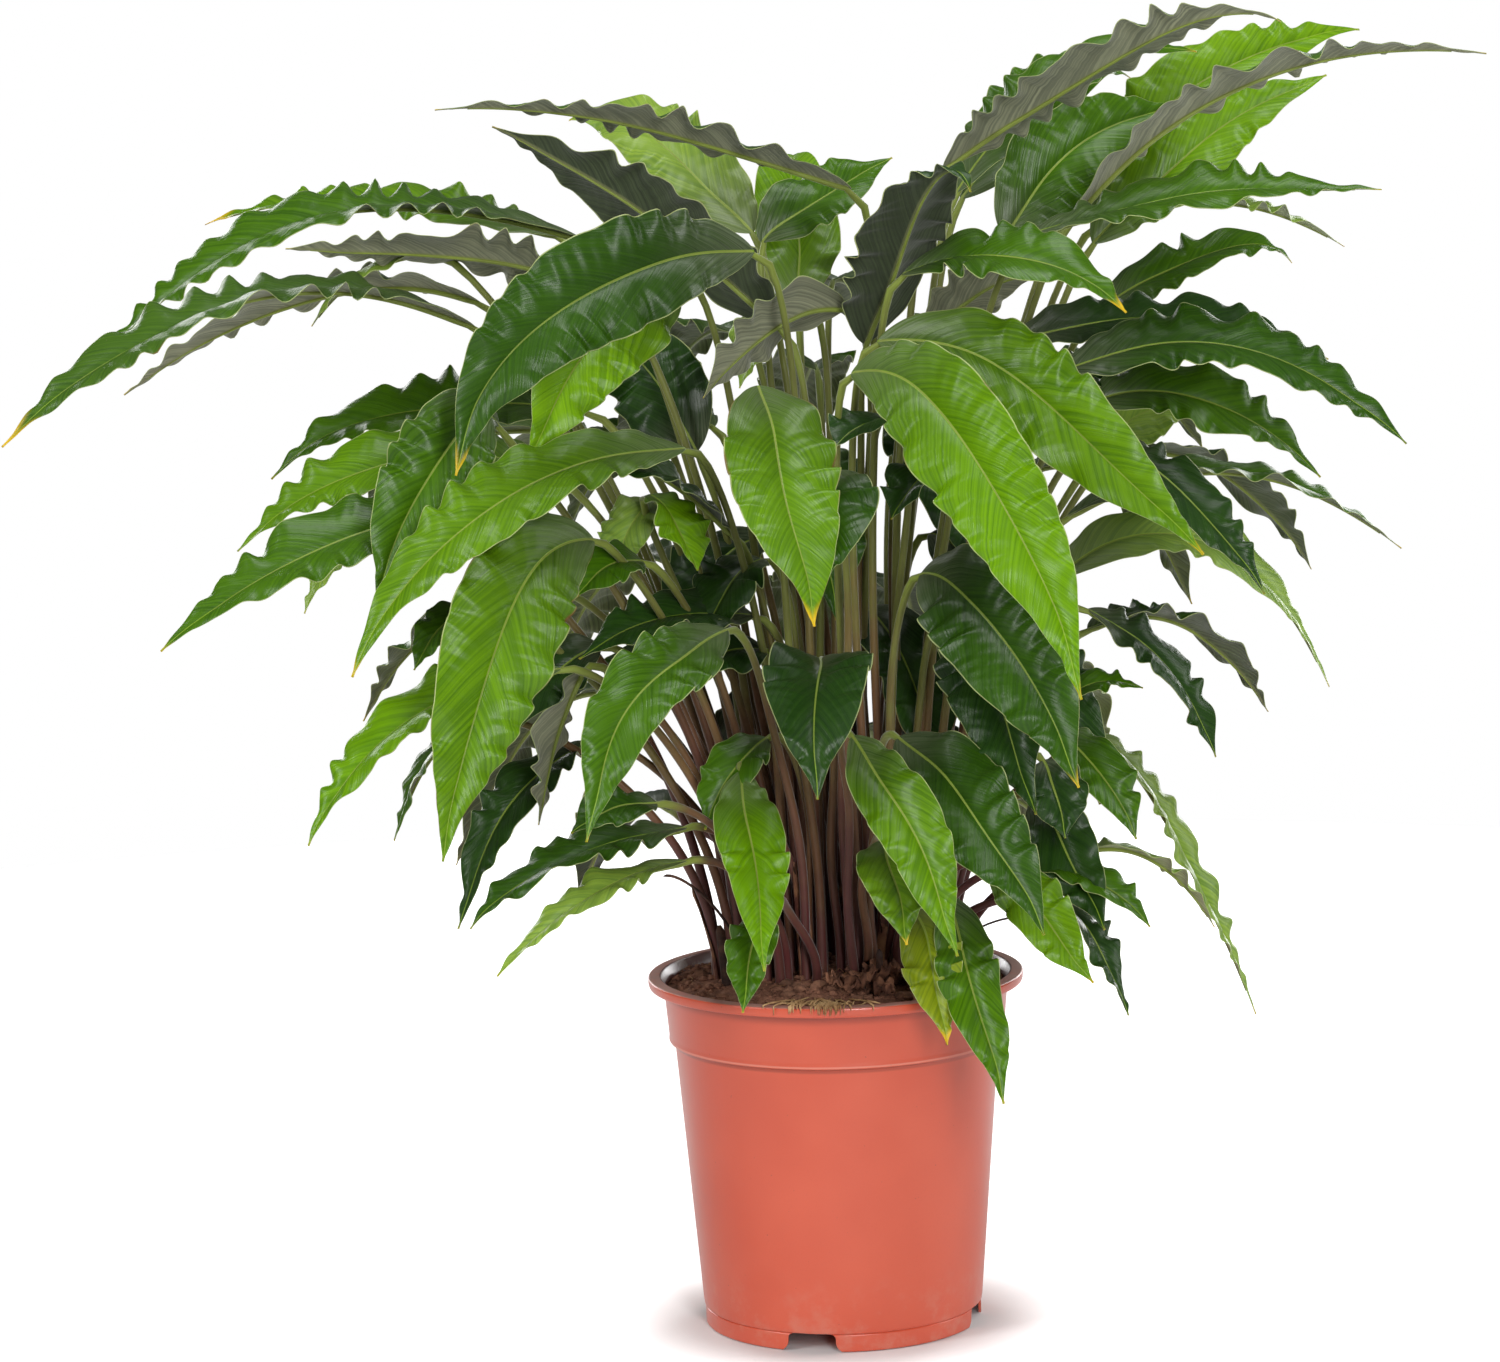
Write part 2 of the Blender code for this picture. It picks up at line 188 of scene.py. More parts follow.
def addPiece(name, mesh, nodes=()):
    piece = addObject(name, mesh)
    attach(piece, "root")
    if nodes:
        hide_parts(*nodes)
    return piece


def smoothStep(value, low, high):
    share = np.clip((value - low) / (high - low), 0, 1)
    return share * share * (3 - 2 * share)


# leaf materials

leafFinish = {
    "streakWidth": 0.0011,  # fine streaks along the side veins
    "veinSpacing": 0.0030,  # broad light and dark bands
    "veinLean": 1.45,  # how far a side vein runs on for each step outwards
    "veinCurl": 16.0,  # and how much it bends towards the tip
    "midrib": tone(142, 172, 56),
    "margin": tone(196, 206, 140),
    "dust": tone(150, 158, 128),
    "tipYellow": tone(214, 178, 30),
    "tipBrown": tone(112, 74, 34),
    "underRib": tone(128, 132, 84),
    # a leaf's own colour is multiplied by these in its light and dark bands
    "upperLighter": (1.26, 1.20, 1.05, 1),
    "upperDarker": (0.54, 0.64, 0.74, 1),
    "underLighter": (1.38, 1.38, 1.34, 1),
    "underDarker": (0.62, 0.64, 0.62, 1),
}

stalkFinish = {
    "foot": tone(98, 48, 48),
    "low": tone(120, 82, 54),
    "high": tone(112, 118, 50),
    "top": tone(136, 152, 62),
    "fibre": tone(70, 60, 34),
    "climb": 3.1,  # how fast the colour changes along a stalk, for each metre
    "unevenness": 0.35,
    "variety": 0.9,  # how far one stalk differs from the next
}


def leafCoordinates(tree):
    # place: metres along the midrib, metres across from it, share of the blade's length
    along, across, share = splitVector(tree, readAttribute(tree, "bladePlace").outputs["Vector"])
    outward = calc(tree, "ABSOLUTE", across)
    marks = splitVector(tree, readAttribute(tree, "leafMarks").outputs["Vector"])
    lean = times(tree, outward, leafFinish["veinLean"])
    curl = times(tree, times(tree, outward, outward), leafFinish["veinCurl"])
    vein = minus(tree, minus(tree, along, lean), curl)
    return along, outward, share, vein, marks


def veinStreaks(tree, vein, outward, seed, width, detail=2.0):
    crosswise = times(tree, vein, 1 / width)
    lengthwise = times(tree, outward, 0.025 / width)
    return grain(tree, joinVector(tree, crosswise, lengthwise, seed), 1.0, detail)


def ageLeaf(tree, colour, share, edge, marks, seedNoise):
    # yellow then brown towards the tip, and a scorched margin on the leaves that have one
    reach = plus(tree, share, times(tree, edge, 0.035))
    reach = plus(tree, reach, times(tree, seedNoise, 0.05))
    past = minus(tree, plus(tree, reach, marks[0]), 1.05)
    colour = tint(tree, colour, leafFinish["tipYellow"], past, -0.03, 0.03)
    colour = tint(tree, colour, leafFinish["tipBrown"], past, 0.055, 0.085)
    scorch = plus(tree, edge, times(tree, seedNoise, 0.35))
    scorch = minus(tree, plus(tree, scorch, marks[1]), 1.2)
    return tint(tree, colour, leafFinish["tipBrown"], scorch, 0.0, 0.06)


def leafGround(tree, ownName, lighter, darker, blotchScale):
    # what both sides of a blade share: coordinates, streaks, and light and dark bands
    along, outward, share, vein, marks = leafCoordinates(tree)
    edge = readAttribute(tree, "edgeShare").outputs["Fac"]
    own = readAttribute(tree, ownName).outputs["Color"]
    fine = veinStreaks(tree, vein, outward, marks[2], leafFinish["streakWidth"])
    broad = veinStreaks(tree, vein, outward, marks[2], leafFinish["veinSpacing"], 1.0)
    blotch = grain(tree, joinVector(tree, along, outward, marks[2]), blotchScale, 3.0)
    light = blendColour(tree, 1.0, own, lighter, "MULTIPLY")
    dark = blendColour(tree, 1.0, own, darker, "MULTIPLY")
    colour = blendColour(tree, ramp(tree, broad, 0.30, 0.70), dark, light)
    return outward, share, marks, edge, own, fine, broad, blotch, light, dark, colour


def makeUpperMaterial():
    material, tree, shader = newMaterial("leafUpper", specular=0.30)
    outward, share, marks, edge, own, fine, broad, blotch, light, _, colour = leafGround(
        tree, "upperColour", leafFinish["upperLighter"], leafFinish["upperDarker"], 28.0
    )
    colour = tint(tree, colour, own, fine, 0.30, 0.70, 0.5)
    colour = tint(tree, colour, light, blotch, 0.35, 0.75, 0.35)
    # painted shade and light: each blade is darkened towards its base, deep in the plant, and brightened a
    # little towards its tip
    colour = blendColour(tree, 1.0, colour, ramp(tree, share, 0.0, 0.6, 0.44, 1.10), "MULTIPLY")
    # dust gathers in the streaks near the base
    dusty = times(tree, ramp(tree, share, 0.30, 0.0), ramp(tree, fine, 0.25, 0.75, 0.08, 0.38))
    colour = blendColour(tree, dusty, colour, leafFinish["dust"])
    ribWidth = ramp(tree, share, 0.0, 1.0, 0.00075, 0.00025)
    rib = times(tree, ramp(tree, minus(tree, outward, ribWidth), 0.0002, -0.0002), 0.8)
    colour = blendColour(tree, rib, colour, leafFinish["midrib"])
    colour = tint(tree, colour, leafFinish["margin"], edge, 0.972, 0.99, 0.7)
    colour = ageLeaf(tree, colour, share, edge, marks, blotch)
    height = plus(tree, times(tree, broad, 0.8), times(tree, fine, 0.35))
    rough = ramp(tree, fine, 0.2, 0.8, 0.26, 0.40)
    finishShader(tree, shader, colour, height, 0.5, 0.0006, rough)
    return material


def makeUnderMaterial():
    material, tree, shader = newMaterial("leafUnder", specular=0.28, Sheen_Weight=0.25, Sheen_Roughness=0.5)
    outward, share, marks, edge, _, fine, broad, blotch, _, dark, colour = leafGround(
        tree, "underColour", leafFinish["underLighter"], leafFinish["underDarker"], 30.0
    )
    colour = tint(tree, colour, dark, fine, 0.3, 0.7, 0.6)
    colour = tint(tree, colour, leafFinish["underRib"], outward, 0.0018, 0.0006, 0.6)
    colour = tint(tree, colour, leafFinish["margin"], edge, 0.965, 0.99, 0.7)
    colour = ageLeaf(tree, colour, share, edge, marks, blotch)
    height = plus(tree, times(tree, broad, 0.9), times(tree, fine, 0.5))
    rough = ramp(tree, blotch, 0.2, 0.8, 0.50, 0.68)
    finishShader(tree, shader, colour, height, 0.55, 0.0006, rough)
    return material


def makeStalkMaterial():
    material, tree, shader = newMaterial("leafStalk", specular=0.35, Sheen_Weight=0.35, Sheen_Roughness=0.4)
    along, around, share = splitVector(tree, readAttribute(tree, "bladePlace").outputs["Vector"])
    seed = splitVector(tree, readAttribute(tree, "leafMarks").outputs["Vector"])[2]
    lengthwise, crosswise = times(tree, along, 60), times(tree, around, 1500)
    fibre = grain(tree, joinVector(tree, lengthwise, crosswise, seed), 1.0, 3.0)
    patch = grain(tree, joinVector(tree, times(tree, along, 45), seed), 1.0, 2.0)
    uneven = times(tree, minus(tree, patch, 0.5), stalkFinish["unevenness"])
    spot = plus(tree, times(tree, along, stalkFinish["climb"]), uneven)
    own = grain(tree, joinVector(tree, times(tree, seed, 7.3), 0.5), 1.0, 1.0)
    spot = plus(tree, spot, times(tree, minus(tree, own, 0.48), stalkFinish["variety"]))
    colour = blendColour(tree, ramp(tree, spot, 0.14, 0.40), stalkFinish["foot"], stalkFinish["low"])
    colour = tint(tree, colour, stalkFinish["high"], spot, 0.38, 0.78)
    colour = tint(tree, colour, stalkFinish["top"], share, 0.86, 1.0)
    colour = tint(tree, colour, stalkFinish["fibre"], fibre, 0.3, 0.7, 0.35)
    rough = ramp(tree, fibre, 0.2, 0.8, 0.38, 0.58)
    finishShader(tree, shader, colour, fibre, 0.5, 0.0003, rough)
    return material


def makeMarginMaterial():
    material, tree, shader = newMaterial("leafMargin", roughness=0.5, specular=0.4)
    along, across, share = splitVector(tree, readAttribute(tree, "bladePlace").outputs["Vector"])
    marks = splitVector(tree, readAttribute(tree, "leafMarks").outputs["Vector"])
    blotch = grain(tree, joinVector(tree, along, across, marks[2]), 60.0, 3.0)
    own = readAttribute(tree, "upperColour").outputs["Color"]
    colour = blendColour(tree, ramp(tree, blotch, 0.3, 0.7, 0.45, 0.85), own, leafFinish["margin"])
    colour = ageLeaf(tree, colour, share, ramp(tree, share, -1.0, -0.5), marks, blotch)
    finishShader(tree, shader, colour, blotch, 0.3, 0.0002)
    return material


leafMaterials = [makeUpperMaterial(), makeUnderMaterial(), makeStalkMaterial(), makeMarginMaterial()]
upperKind, underKind, stalkKind, marginKind = range(len(leafMaterials))
print("leaf materials ready")


# leaf shapes

growth = {
    "soilBelowRim": 0.014,
    "soilMound": 0.012,
    "soilEdge": 0.094,
    "crown": (0.010, 0.0),
    "crownRadius": 0.062,
    "crownSpread": 0.7,
    "crownTop": 0.45,
    "lowSpread": 0.2,
    "reach": 0.20,
    "footSpacing": 0.0072,
    "footRounds": 80,
    "stalkRise": 0.5,
    "knee": 0.030,
    "footRadius": 0.0028,
    "topRadius": 0.0019,
    "stations": 34,
    "bow": 0.0035,
    "footFlare": 0.35,
    "swelling": 0.22,  # of the stalk just below the blade, 12 mm from its end
    "leafSeed": 100,
    "fillerSeed": 300,
}

blade = {
    "stations": 150,
    "acrossSteps": (0.035, 0.10, 0.20, 0.33, 0.47, 0.61, 0.74, 0.85, 0.93, 0.975, 1.0),
    "widestAt": 0.40,
    "slimness": 0.95,
    "thickness": 0.00045,
    "foldRise": 0.52,  # how steeply each half leaves the midrib, as a share of the half width
    "arch": 0.36,  # and how far its margin drops back
    "waveDepth": 0.0050,
    "waveCount": 10.5,  # waves along each margin of a long leaf
    "ribSpacing": 0.0088,
    "ribDepth": 0.00042,
    "grooveDepth": 0.0006,
    "sway": 0.012,  # sideways bend of the midrib, as a share of the length
    "wobble": (3, 7),  # least and most degrees that a blade rocks about its midrib
    "squeeze": 14,  # degrees that each half leans, which narrows the blade
}

# upper colour, underside colour, depth of the waves, share of the tip that has gone yellow
leafLooks = {
    "bright": (tone(104, 148, 8), tone(112, 122, 70), 1.0, 0.0),
    "vivid": (tone(97, 143, 0), tone(106, 118, 66), 1.0, 0.0),
    "fresh": (tone(89, 131, 6), tone(100, 112, 64), 1.0, 0.0),
    "mid": (tone(64, 104, 6), tone(96, 106, 66), 1.05, 0.01),
    "deep": (tone(46, 82, 8), tone(82, 92, 60), 1.1, 0.0),
    "dark": (tone(36, 66, 18), tone(58, 68, 44), 1.1, 0.0),
    "pale": (tone(126, 156, 60), tone(148, 158, 112), 1.1, 0.01),
    "grey": (tone(64, 98, 24), tone(134, 136, 112), 1.15, 0.0),
    "wavy": (tone(74, 116, 8), tone(96, 106, 66), 1.35, 0.01),
    "wavyBright": (tone(98, 140, 8), tone(112, 122, 70), 1.25, 0.02),
    "calmPale": (tone(128, 158, 66), tone(150, 160, 116), 0.55, 0.01),
    "yellowing": (tone(128, 146, 22), tone(120, 124, 50), 1.9, 0.09),
    "worn": (tone(86, 122, 16), tone(112, 116, 76), 1.1, 0.09),
}

# base and tip of each blade in millimetres from the middle of the pot's rim, rise and lead of
# its bend, width in millimetres, roll and twist in degrees, and its look. Some go on with the
# share of the tip that has gone yellow, and then with how far the margin is scorched
leaves = {
    "left_leaf_01": ((-35, -50, 405), (-195, -130, 295), 0.45, 0.8, 66, 70, 0, "deep", 0.04),
    "left_leaf_02": ((-75, 0, 390), (-160, -80, 295), 0.25, 0.65, 60, 66, 0, "bright", 0.03),
    "left_leaf_03": ((-70, 40, 290), (-125, 80, 370), 0.1, 0.2, 60, 65, 0, "dark"),
    "left_leaf_04": ((-75, -55, 300), (-250, -170, 195), 0.35, 0.75, 53, 34, 0, "fresh", 0.03),
    "left_leaf_05": ((-130, 30, 315), (-310, 50, 280), 0.25, 0.7, 55, 35, 0, "mid"),
    "left_leaf_06": ((-145, -10, 280), (-320, -50, 250), 0.35, 0.5, 55, 30, 0, "fresh"),
    "left_leaf_07": ((-165, -45, 270), (-355, -120, 205), 0.2, 0.65, 55, 30, 0, "mid"),
    "left_leaf_08": ((-175, -60, 315), (-240, -125, 230), 0.45, 0.25, 56, 50, 0, "mid"),
    "left_leaf_09": ((-190, 10, 365), (-445, -50, 310), 0.35, 0.5, 60, -5, 40, "grey", 0.055),
    "left_leaf_10": ((-130, 50, 410), (-410, 60, 345), 0.35, 0.6, 58, 0, 40, "mid", 0.05),
    "left_leaf_11": ((-145, 110, 410), (-355, 170, 420), 0.15, 0.65, 48, 18, 0, "fresh", 0.06),
    "left_leaf_12": ((-115, 20, 380), (-295, 30, 410), 0.1, 0.3, 50, -30, 0, "grey"),
    "left_leaf_13": ((-190, 75, 375), (-400, 120, 325), 0.25, 0.4, 50, -15, 0, "grey"),
    "top_leaf_01": ((20, 30, 435), (-205, -40, 485), 0.1, 0.65, 50, -12, 0, "grey"),
    "top_leaf_02": ((-20, -10, 360), (-175, -30, 475), 0.1, 0.65, 60, -40, 0, "dark"),
    "top_leaf_03": ((-35, 80, 410), (-140, 160, 475), 0.25, 0.65, 58, 45, 0, "pale"),
    "top_leaf_04": ((-10, 100, 365), (-10, 200, 450), 0.4, 0.5, 55, 0, 0, "bright"),
    "top_leaf_05": ((25, 0, 350), (80, -95, 435), 0.45, 0.8, 62, 0, 0, "dark"),
    "top_leaf_06": ((70, 5, 445), (250, -50, 520), 0.2, 0.8, 60, 20, 0, "grey"),
    "top_leaf_07": ((80, 70, 430), (220, 105, 505), 0.35, 0.45, 52, -30, 0, "mid"),
    "top_leaf_08": ((85, 115, 425), (190, 190, 490), 0.35, 0.65, 52, -40, 0, "mid"),
    "right_leaf_01": ((45, -35, 390), (160, -110, 370), 0.3, 0.6, 52, -30, 0, "mid", 0.055),
    "right_leaf_02": ((105, 35, 405), (205, 60, 475), 0.3, 0.4, 60, -65, 0, "mid"),
    "right_leaf_03": ((140, 10, 415), (365, -20, 500), 0.3, 0.4, 58, 12, 0, "grey"),
    "right_leaf_04": ((155, 50, 400), (290, 75, 490), 0.15, 0.4, 56, -50, 0, "bright"),
    "right_leaf_05": ((145, 100, 415), (320, 160, 515), 0.25, 0.55, 55, -50, 0, "bright"),
    "right_leaf_06": ((115, -40, 410), (300, -75, 430), 0.1, 0.45, 48, -25, 0, "mid"),
    "right_leaf_07": ((100, -15, 350), (280, 0, 335), 0.2, 0.6, 46, -30, 0, "dark", 0, 0.04),
    "right_leaf_08": ((125, -55, 335), (310, -90, 295), 0.35, 0.6, 52, -35, 0, "deep"),
    "right_leaf_09": ((145, -15, 315), (275, 0, 270), 0.35, 0.5, 48, -45, 0, "mid"),
    "right_leaf_10": ((135, 15, 250), (325, 40, 225), 0.35, 0.5, 44, -8, 0, "mid"),
    "right_leaf_11": ((150, -60, 300), (230, -120, 220), 0.2, 0.7, 40, -20, 0, "dark"),
    "right_leaf_12": ((130, 60, 210), (295, 130, 135), 0.6, 0.6, 43, -42, 0, "calmPale"),
    "right_leaf_13": ((145, 0, 200), (215, 0, 115), 0.35, 0.8, 42, -20, -20, "dark"),
    "front_leaf_01": ((30, -55, 355), (195, -150, 245), 0.25, 0.4, 58, -60, 0, "fresh", 0.02),
    "front_leaf_02": ((15, -80, 340), (125, -220, 180), 0.45, 0.55, 64, -55, 0, "vivid", 0.015),
    "front_leaf_03": ((50, -70, 230), (125, -190, 130), 0.3, 0.4, 66, -45, 0, "deep", 0.035),
    "front_leaf_04": ((65, -45, 205), (105, -150, 110), 0.2, 0.55, 56, -40, 0, "dark"),
    "front_leaf_05": ((35, -95, 145), (105, -200, 55), 0.2, 0.7, 55, -35, 0, "deep"),
    "front_leaf_06": ((10, -120, 150), (60, -200, 45), 0.2, 0.65, 41, -35, 0, "fresh", 0),
    "front_leaf_07": ((-35, -85, 335), (-10, -210, 220), 0.15, 0.55, 65, 0, 0, "fresh", 0.055, 0.04),
    "front_leaf_08": ((5, -100, 290), (-5, -170, 235), 0.2, 0.55, 56, 0, 0, "deep"),
    "front_leaf_09": ((-5, -65, 185), (-10, -175, 125), 0.45, 0.75, 62, 0, 0, "dark"),
    "front_leaf_10": ((-55, -90, 205), (-130, -200, 110), 0.4, 0.8, 48, 32, 0, "mid"),
    "front_leaf_11": ((-125, -85, 255), (-205, -190, 100), 0.55, 0.65, 68, 55, 0, "fresh", 0, 0.05),
    "low_leaf_01": ((60, -75, 55), (85, -150, -45), 0.1, 0.5, 36, -20, 0, "wavy"),
    "low_leaf_02": ((85, -75, 70), (135, -130, 15), 0.1, 0.35, 36, -45, 0, "wavyBright", 0.025),
    "low_leaf_03": ((110, -35, 100), (145, -85, 35), 0.15, 0.3, 40, -40, 0, "dark"),
    "low_leaf_04": ((140, 35, 120), (240, 40, -40), 0.4, 0.35, 34, -24, 0, "pale"),
    "low_leaf_05": ((-50, -70, 125), (-40, -175, 35), 0.1, 0.8, 40, 0, 0, "vivid"),
    "low_leaf_06": ((-145, -80, 185), (-280, -130, 100), 0.35, 0.8, 48, 20, 0, "vivid"),
    "low_leaf_07": ((-130, -15, 135), (-205, -85, 45), 0.4, 0.65, 38, 10, 0, "dark"),
    "low_leaf_08": ((-80, -70, 95), (-195, -140, 55), 0.2, 0.8, 46, 10, 0, "deep"),
    "back_leaf_01": ((-85, 100, 220), (-170, 240, 110), 0.4, 0.5, 62, 0, 0, "mid"),
    "back_leaf_02": ((40, 110, 200), (70, 260, 90), 0.4, 0.5, 64, 0, 0, "deep"),
    "back_leaf_03": ((-30, 85, 130), (-50, 215, 20), 0.3, 0.5, 56, 0, 0, "mid"),
    "back_leaf_04": ((100, 85, 150), (170, 210, 70), 0.4, 0.5, 58, 0, 0, "bright"),
    "back_leaf_05": ((-115, 65, 150), (-220, 150, 40), 0.4, 0.5, 54, 0, 0, "deep"),
}

# more leaves that fill the plant: thinner, half hidden ones, and those behind
fillers = {
    "left_a": ((-230, -30, 275), (-285, -50, 215), 0.35, 0.6, 34, 20, 0, "pale"),
    "left_b": ((-215, 50, 405), (-285, 60, 365), 0.3, 0.6, 36, 10, 0, "pale"),
    "left_c": ((-50, -30, 250), (-135, -70, 285), 0.4, 0.65, 42, 20, 0, "dark"),
    "left_d": ((-195, -50, 215), (-225, -70, 185), 0.3, 0.6, 30, 20, 0, "mid"),
    "left_e": ((-195, -50, 155), (-240, -60, 90), 0.4, 0.6, 28, 0, 0, "grey"),
    "left_f": ((-125, -30, 190), (-175, -50, 145), 0.3, 0.5, 50, 30, 0, "dark"),
    "left_g": ((-135, -60, 180), (-160, -80, 100), 0.3, 0.6, 40, -60, 0, "grey"),
    "left_h": ((-95, -30, 270), (-115, -50, 235), 0.3, 0.6, 40, 20, 0, "pale"),
    "left_i": ((-100, -60, 240), (-135, -90, 225), 0.3, 0.6, 40, 30, 0, "mid"),
    "top_a": ((-30, 60, 405), (45, 90, 450), 0.1, 0.05, 48, -40, 0, "mid"),
    "top_b": ((-10, 50, 375), (-45, 40, 325), 0.4, 0.6, 50, 10, 0, "pale"),
    "top_c": ((15, 0, 370), (-65, -30, 325), 0.3, 0.5, 50, -50, 0, "grey"),
    "top_d": ((60, 20, 355), (125, 20, 385), 0.2, 0.5, 40, 60, 0, "grey"),
    "right_a": ((160, 50, 365), (270, 80, 385), 0.3, 0.8, 40, -30, 0, "mid"),
    "right_b": ((165, 120, 410), (310, 160, 390), 0.25, 0.5, 45, -10, 0, "pale"),
    "right_c": ((150, 80, 270), (225, 120, 305), 0.3, 0.5, 48, -40, 0, "pale"),
    "right_d": ((105, -50, 65), (170, -80, 35), 0.3, 0.6, 34, -20, 0, "mid"),
    "right_e": ((125, -30, 135), (165, -60, 80), 0.3, 0.6, 38, -30, 0, "mid"),
    "right_f": ((115, -60, 125), (125, -80, 85), 0.3, 0.5, 40, -20, 0, "dark"),
    "right_g": ((140, 0, 65), (215, 20, 15), 0.4, 0.6, 28, 0, 0, "pale"),
    "right_h": ((130, 0, 150), (175, 0, 155), 0.3, 0.5, 28, -20, 0, "mid"),
    "right_i": ((120, -20, 40), (160, -50, -20), 0.4, 0.6, 30, 0, 0, "dark"),
    "right_j": ((130, 0, 330), (165, 0, 320), 0.3, 0.5, 36, -30, 0, "dark"),
    "front_a": ((25, -100, 90), (35, -165, 45), 0.2, 0.6, 40, -10, 0, "worn", 0.06),
    "front_b": ((42, -66, 46), (57, -124, -18), 0.3, 0.5, 36, -10, 0, "yellowing"),
    "front_c": ((-40, -30, 205), (-135, -80, 190), 0.2, 0.55, 46, 25, 0, "dark"),
    "front_d": ((-35, -20, 185), (-80, -50, 175), 0.2, 0.5, 46, 25, 0, "dark"),
    "front_e": ((-35, -50, 140), (-70, -80, 95), 0.3, 0.6, 36, 20, 0, "mid"),
    "front_f": ((-40, -105, 55), (-52, -150, 8), 0.2, 0.6, 30, 0, 0, "mid"),
    "front_g": ((-80, -90, 80), (-180, -170, 35), 0.2, 0.6, 30, 8, 0, "pale"),
    "front_h": ((-95, -110, 115), (-140, -140, 105), 0.2, 0.6, 34, 30, 0, "deep"),
    "front_i": ((65, -40, 285), (35, -70, 260), 0.3, 0.5, 44, 0, 0, "dark"),
    "front_j": ((40, -50, 310), (5, -80, 300), 0.3, 0.5, 44, 10, 0, "dark"),
    "front_k": ((-95, -50, 275), (-70, -70, 235), 0.3, 0.5, 46, 0, 0, "bright"),
    "front_l": ((-35, -20, 235), (-70, -50, 195), 0.3, 0.5, 50, 10, 0, "dark"),
    "inner_l": ((20, 40, 200), (60, -20, 110), 0.4, 0.5, 58, 0, 0, "dark"),
    "inner_m": ((-30, 45, 240), (-90, -10, 170), 0.4, 0.5, 56, 20, 0, "dark"),
    "inner_n": ((60, 45, 240), (110, 0, 150), 0.4, 0.5, 56, -20, 0, "dark"),
    "inner_o": ((-10, 50, 290), (5, -20, 200), 0.4, 0.5, 60, 0, 0, "deep"),
    "inner_p": ((40, 60, 310), (85, 10, 220), 0.4, 0.5, 60, -20, 0, "dark"),
    "inner_q": ((-70, 40, 180), (-130, -10, 110), 0.4, 0.5, 52, 20, 0, "deep"),
    "inner_r": ((100, 40, 180), (150, 0, 90), 0.4, 0.5, 52, -20, 0, "dark"),
    "inner_y1": ((-4, 52, 150), (10, 88, 20), 0.3, 0.5, 56, 0, 0, "dark"),
    "inner_y2": ((40, 56, 160), (60, 90, 30), 0.3, 0.5, 56, 0, 0, "dark"),
    "inner_y3": ((-40, 56, 160), (-50, 90, 30), 0.3, 0.5, 56, 0, 0, "dark"),
    "rear_s": ((-40, 110, 350), (-90, 225, 310), 0.3, 0.6, 56, 0, 0, "mid"),
    "rear_t": ((60, 120, 350), (120, 225, 300), 0.3, 0.6, 56, 0, 0, "fresh"),
    "rear_u": ((10, 125, 380), (30, 232, 340), 0.25, 0.6, 56, 0, 0, "mid"),
    "rear_v": ((-100, 110, 330), (-190, 210, 290), 0.3, 0.6, 56, 0, 0, "deep"),
    "rear_w": ((130, 110, 330), (230, 200, 270), 0.3, 0.6, 56, 0, 0, "mid"),
    "rear_x": ((-150, 90, 300), (-280, 175, 230), 0.3, 0.6, 54, 0, 0, "fresh"),
    "rear_y": ((170, 80, 280), (290, 170, 200), 0.3, 0.6, 54, 0, 0, "deep"),
    "back_a": ((-60, 90, 300), (-150, 200, 230), 0.4, 0.55, 58, 0, 0, "mid"),
    "back_b": ((60, 110, 290), (110, 220, 210), 0.4, 0.55, 60, 0, 0, "deep"),
    "back_c": ((0, 100, 330), (-10, 225, 260), 0.4, 0.55, 60, 0, 0, "mid"),
    "back_d": ((-110, 100, 290), (-240, 180, 220), 0.35, 0.55, 54, 0, 0, "bright"),
    "back_e": ((120, 90, 270), (220, 180, 180), 0.4, 0.55, 56, 0, 0, "mid"),
    "back_f": ((20, 120, 120), (40, 220, 20), 0.4, 0.55, 52, 0, 0, "deep"),
    "back_g": ((-90, 80, 80), (-150, 190, 10), 0.4, 0.55, 50, 0, 0, "dark"),
    "back_h": ((90, 80, 80), (150, 180, 0), 0.4, 0.55, 48, 0, 0, "mid"),
    "back_i": ((-150, 70, 210), (-270, 130, 130), 0.35, 0.6, 52, 0, 0, "mid"),
    "back_j": ((150, 70, 180), (260, 140, 120), 0.4, 0.55, 50, 0, 0, "deep"),
    "back_k": ((-10, 90, 210), (0, 200, 120), 0.4, 0.55, 58, 0, 0, "mid"),
}


def inMetres(rows):
    return {
        name: (tuple(v / 1000 for v in base), tuple(v / 1000 for v in tip), rise, lead, width / 1000, *rest)
        for name, (base, tip, rise, lead, width, *rest) in rows.items()
    }


leaves, fillers = inMetres(leaves), inMetres(fillers)


def bezier(ends, t):
    points = [np.outer(1 - t, 0) + np.asarray(end, float) for end in ends]
    while len(points) > 1:
        points = [a * (1 - t)[:, None] + b * t[:, None] for a, b in zip(points, points[1:])]
    return points[0]


def evenRun(ends, shares):
    fine = bezier(ends, np.linspace(0, 1, 257))
    lengths = np.r_[0, np.cumsum(np.linalg.norm(np.diff(fine, axis=0), axis=1))]
    wanted = np.asarray(shares) * lengths[-1]
    points = np.stack([np.interp(wanted, lengths, fine[:, i]) for i in range(3)], axis=1)
    return points, lengths[-1]


def unit(vectors):
    return vectors / np.maximum(np.linalg.norm(vectors, axis=-1, keepdims=True), 1e-12)


def directions(points):
    return unit(np.gradient(points, axis=0))


def soilHeight(radius, edge=growth["soilEdge"]):
    share = np.minimum(radius / edge, 1)
    return potHeight - growth["soilBelowRim"] + growth["soilMound"] * (1 - share * share)


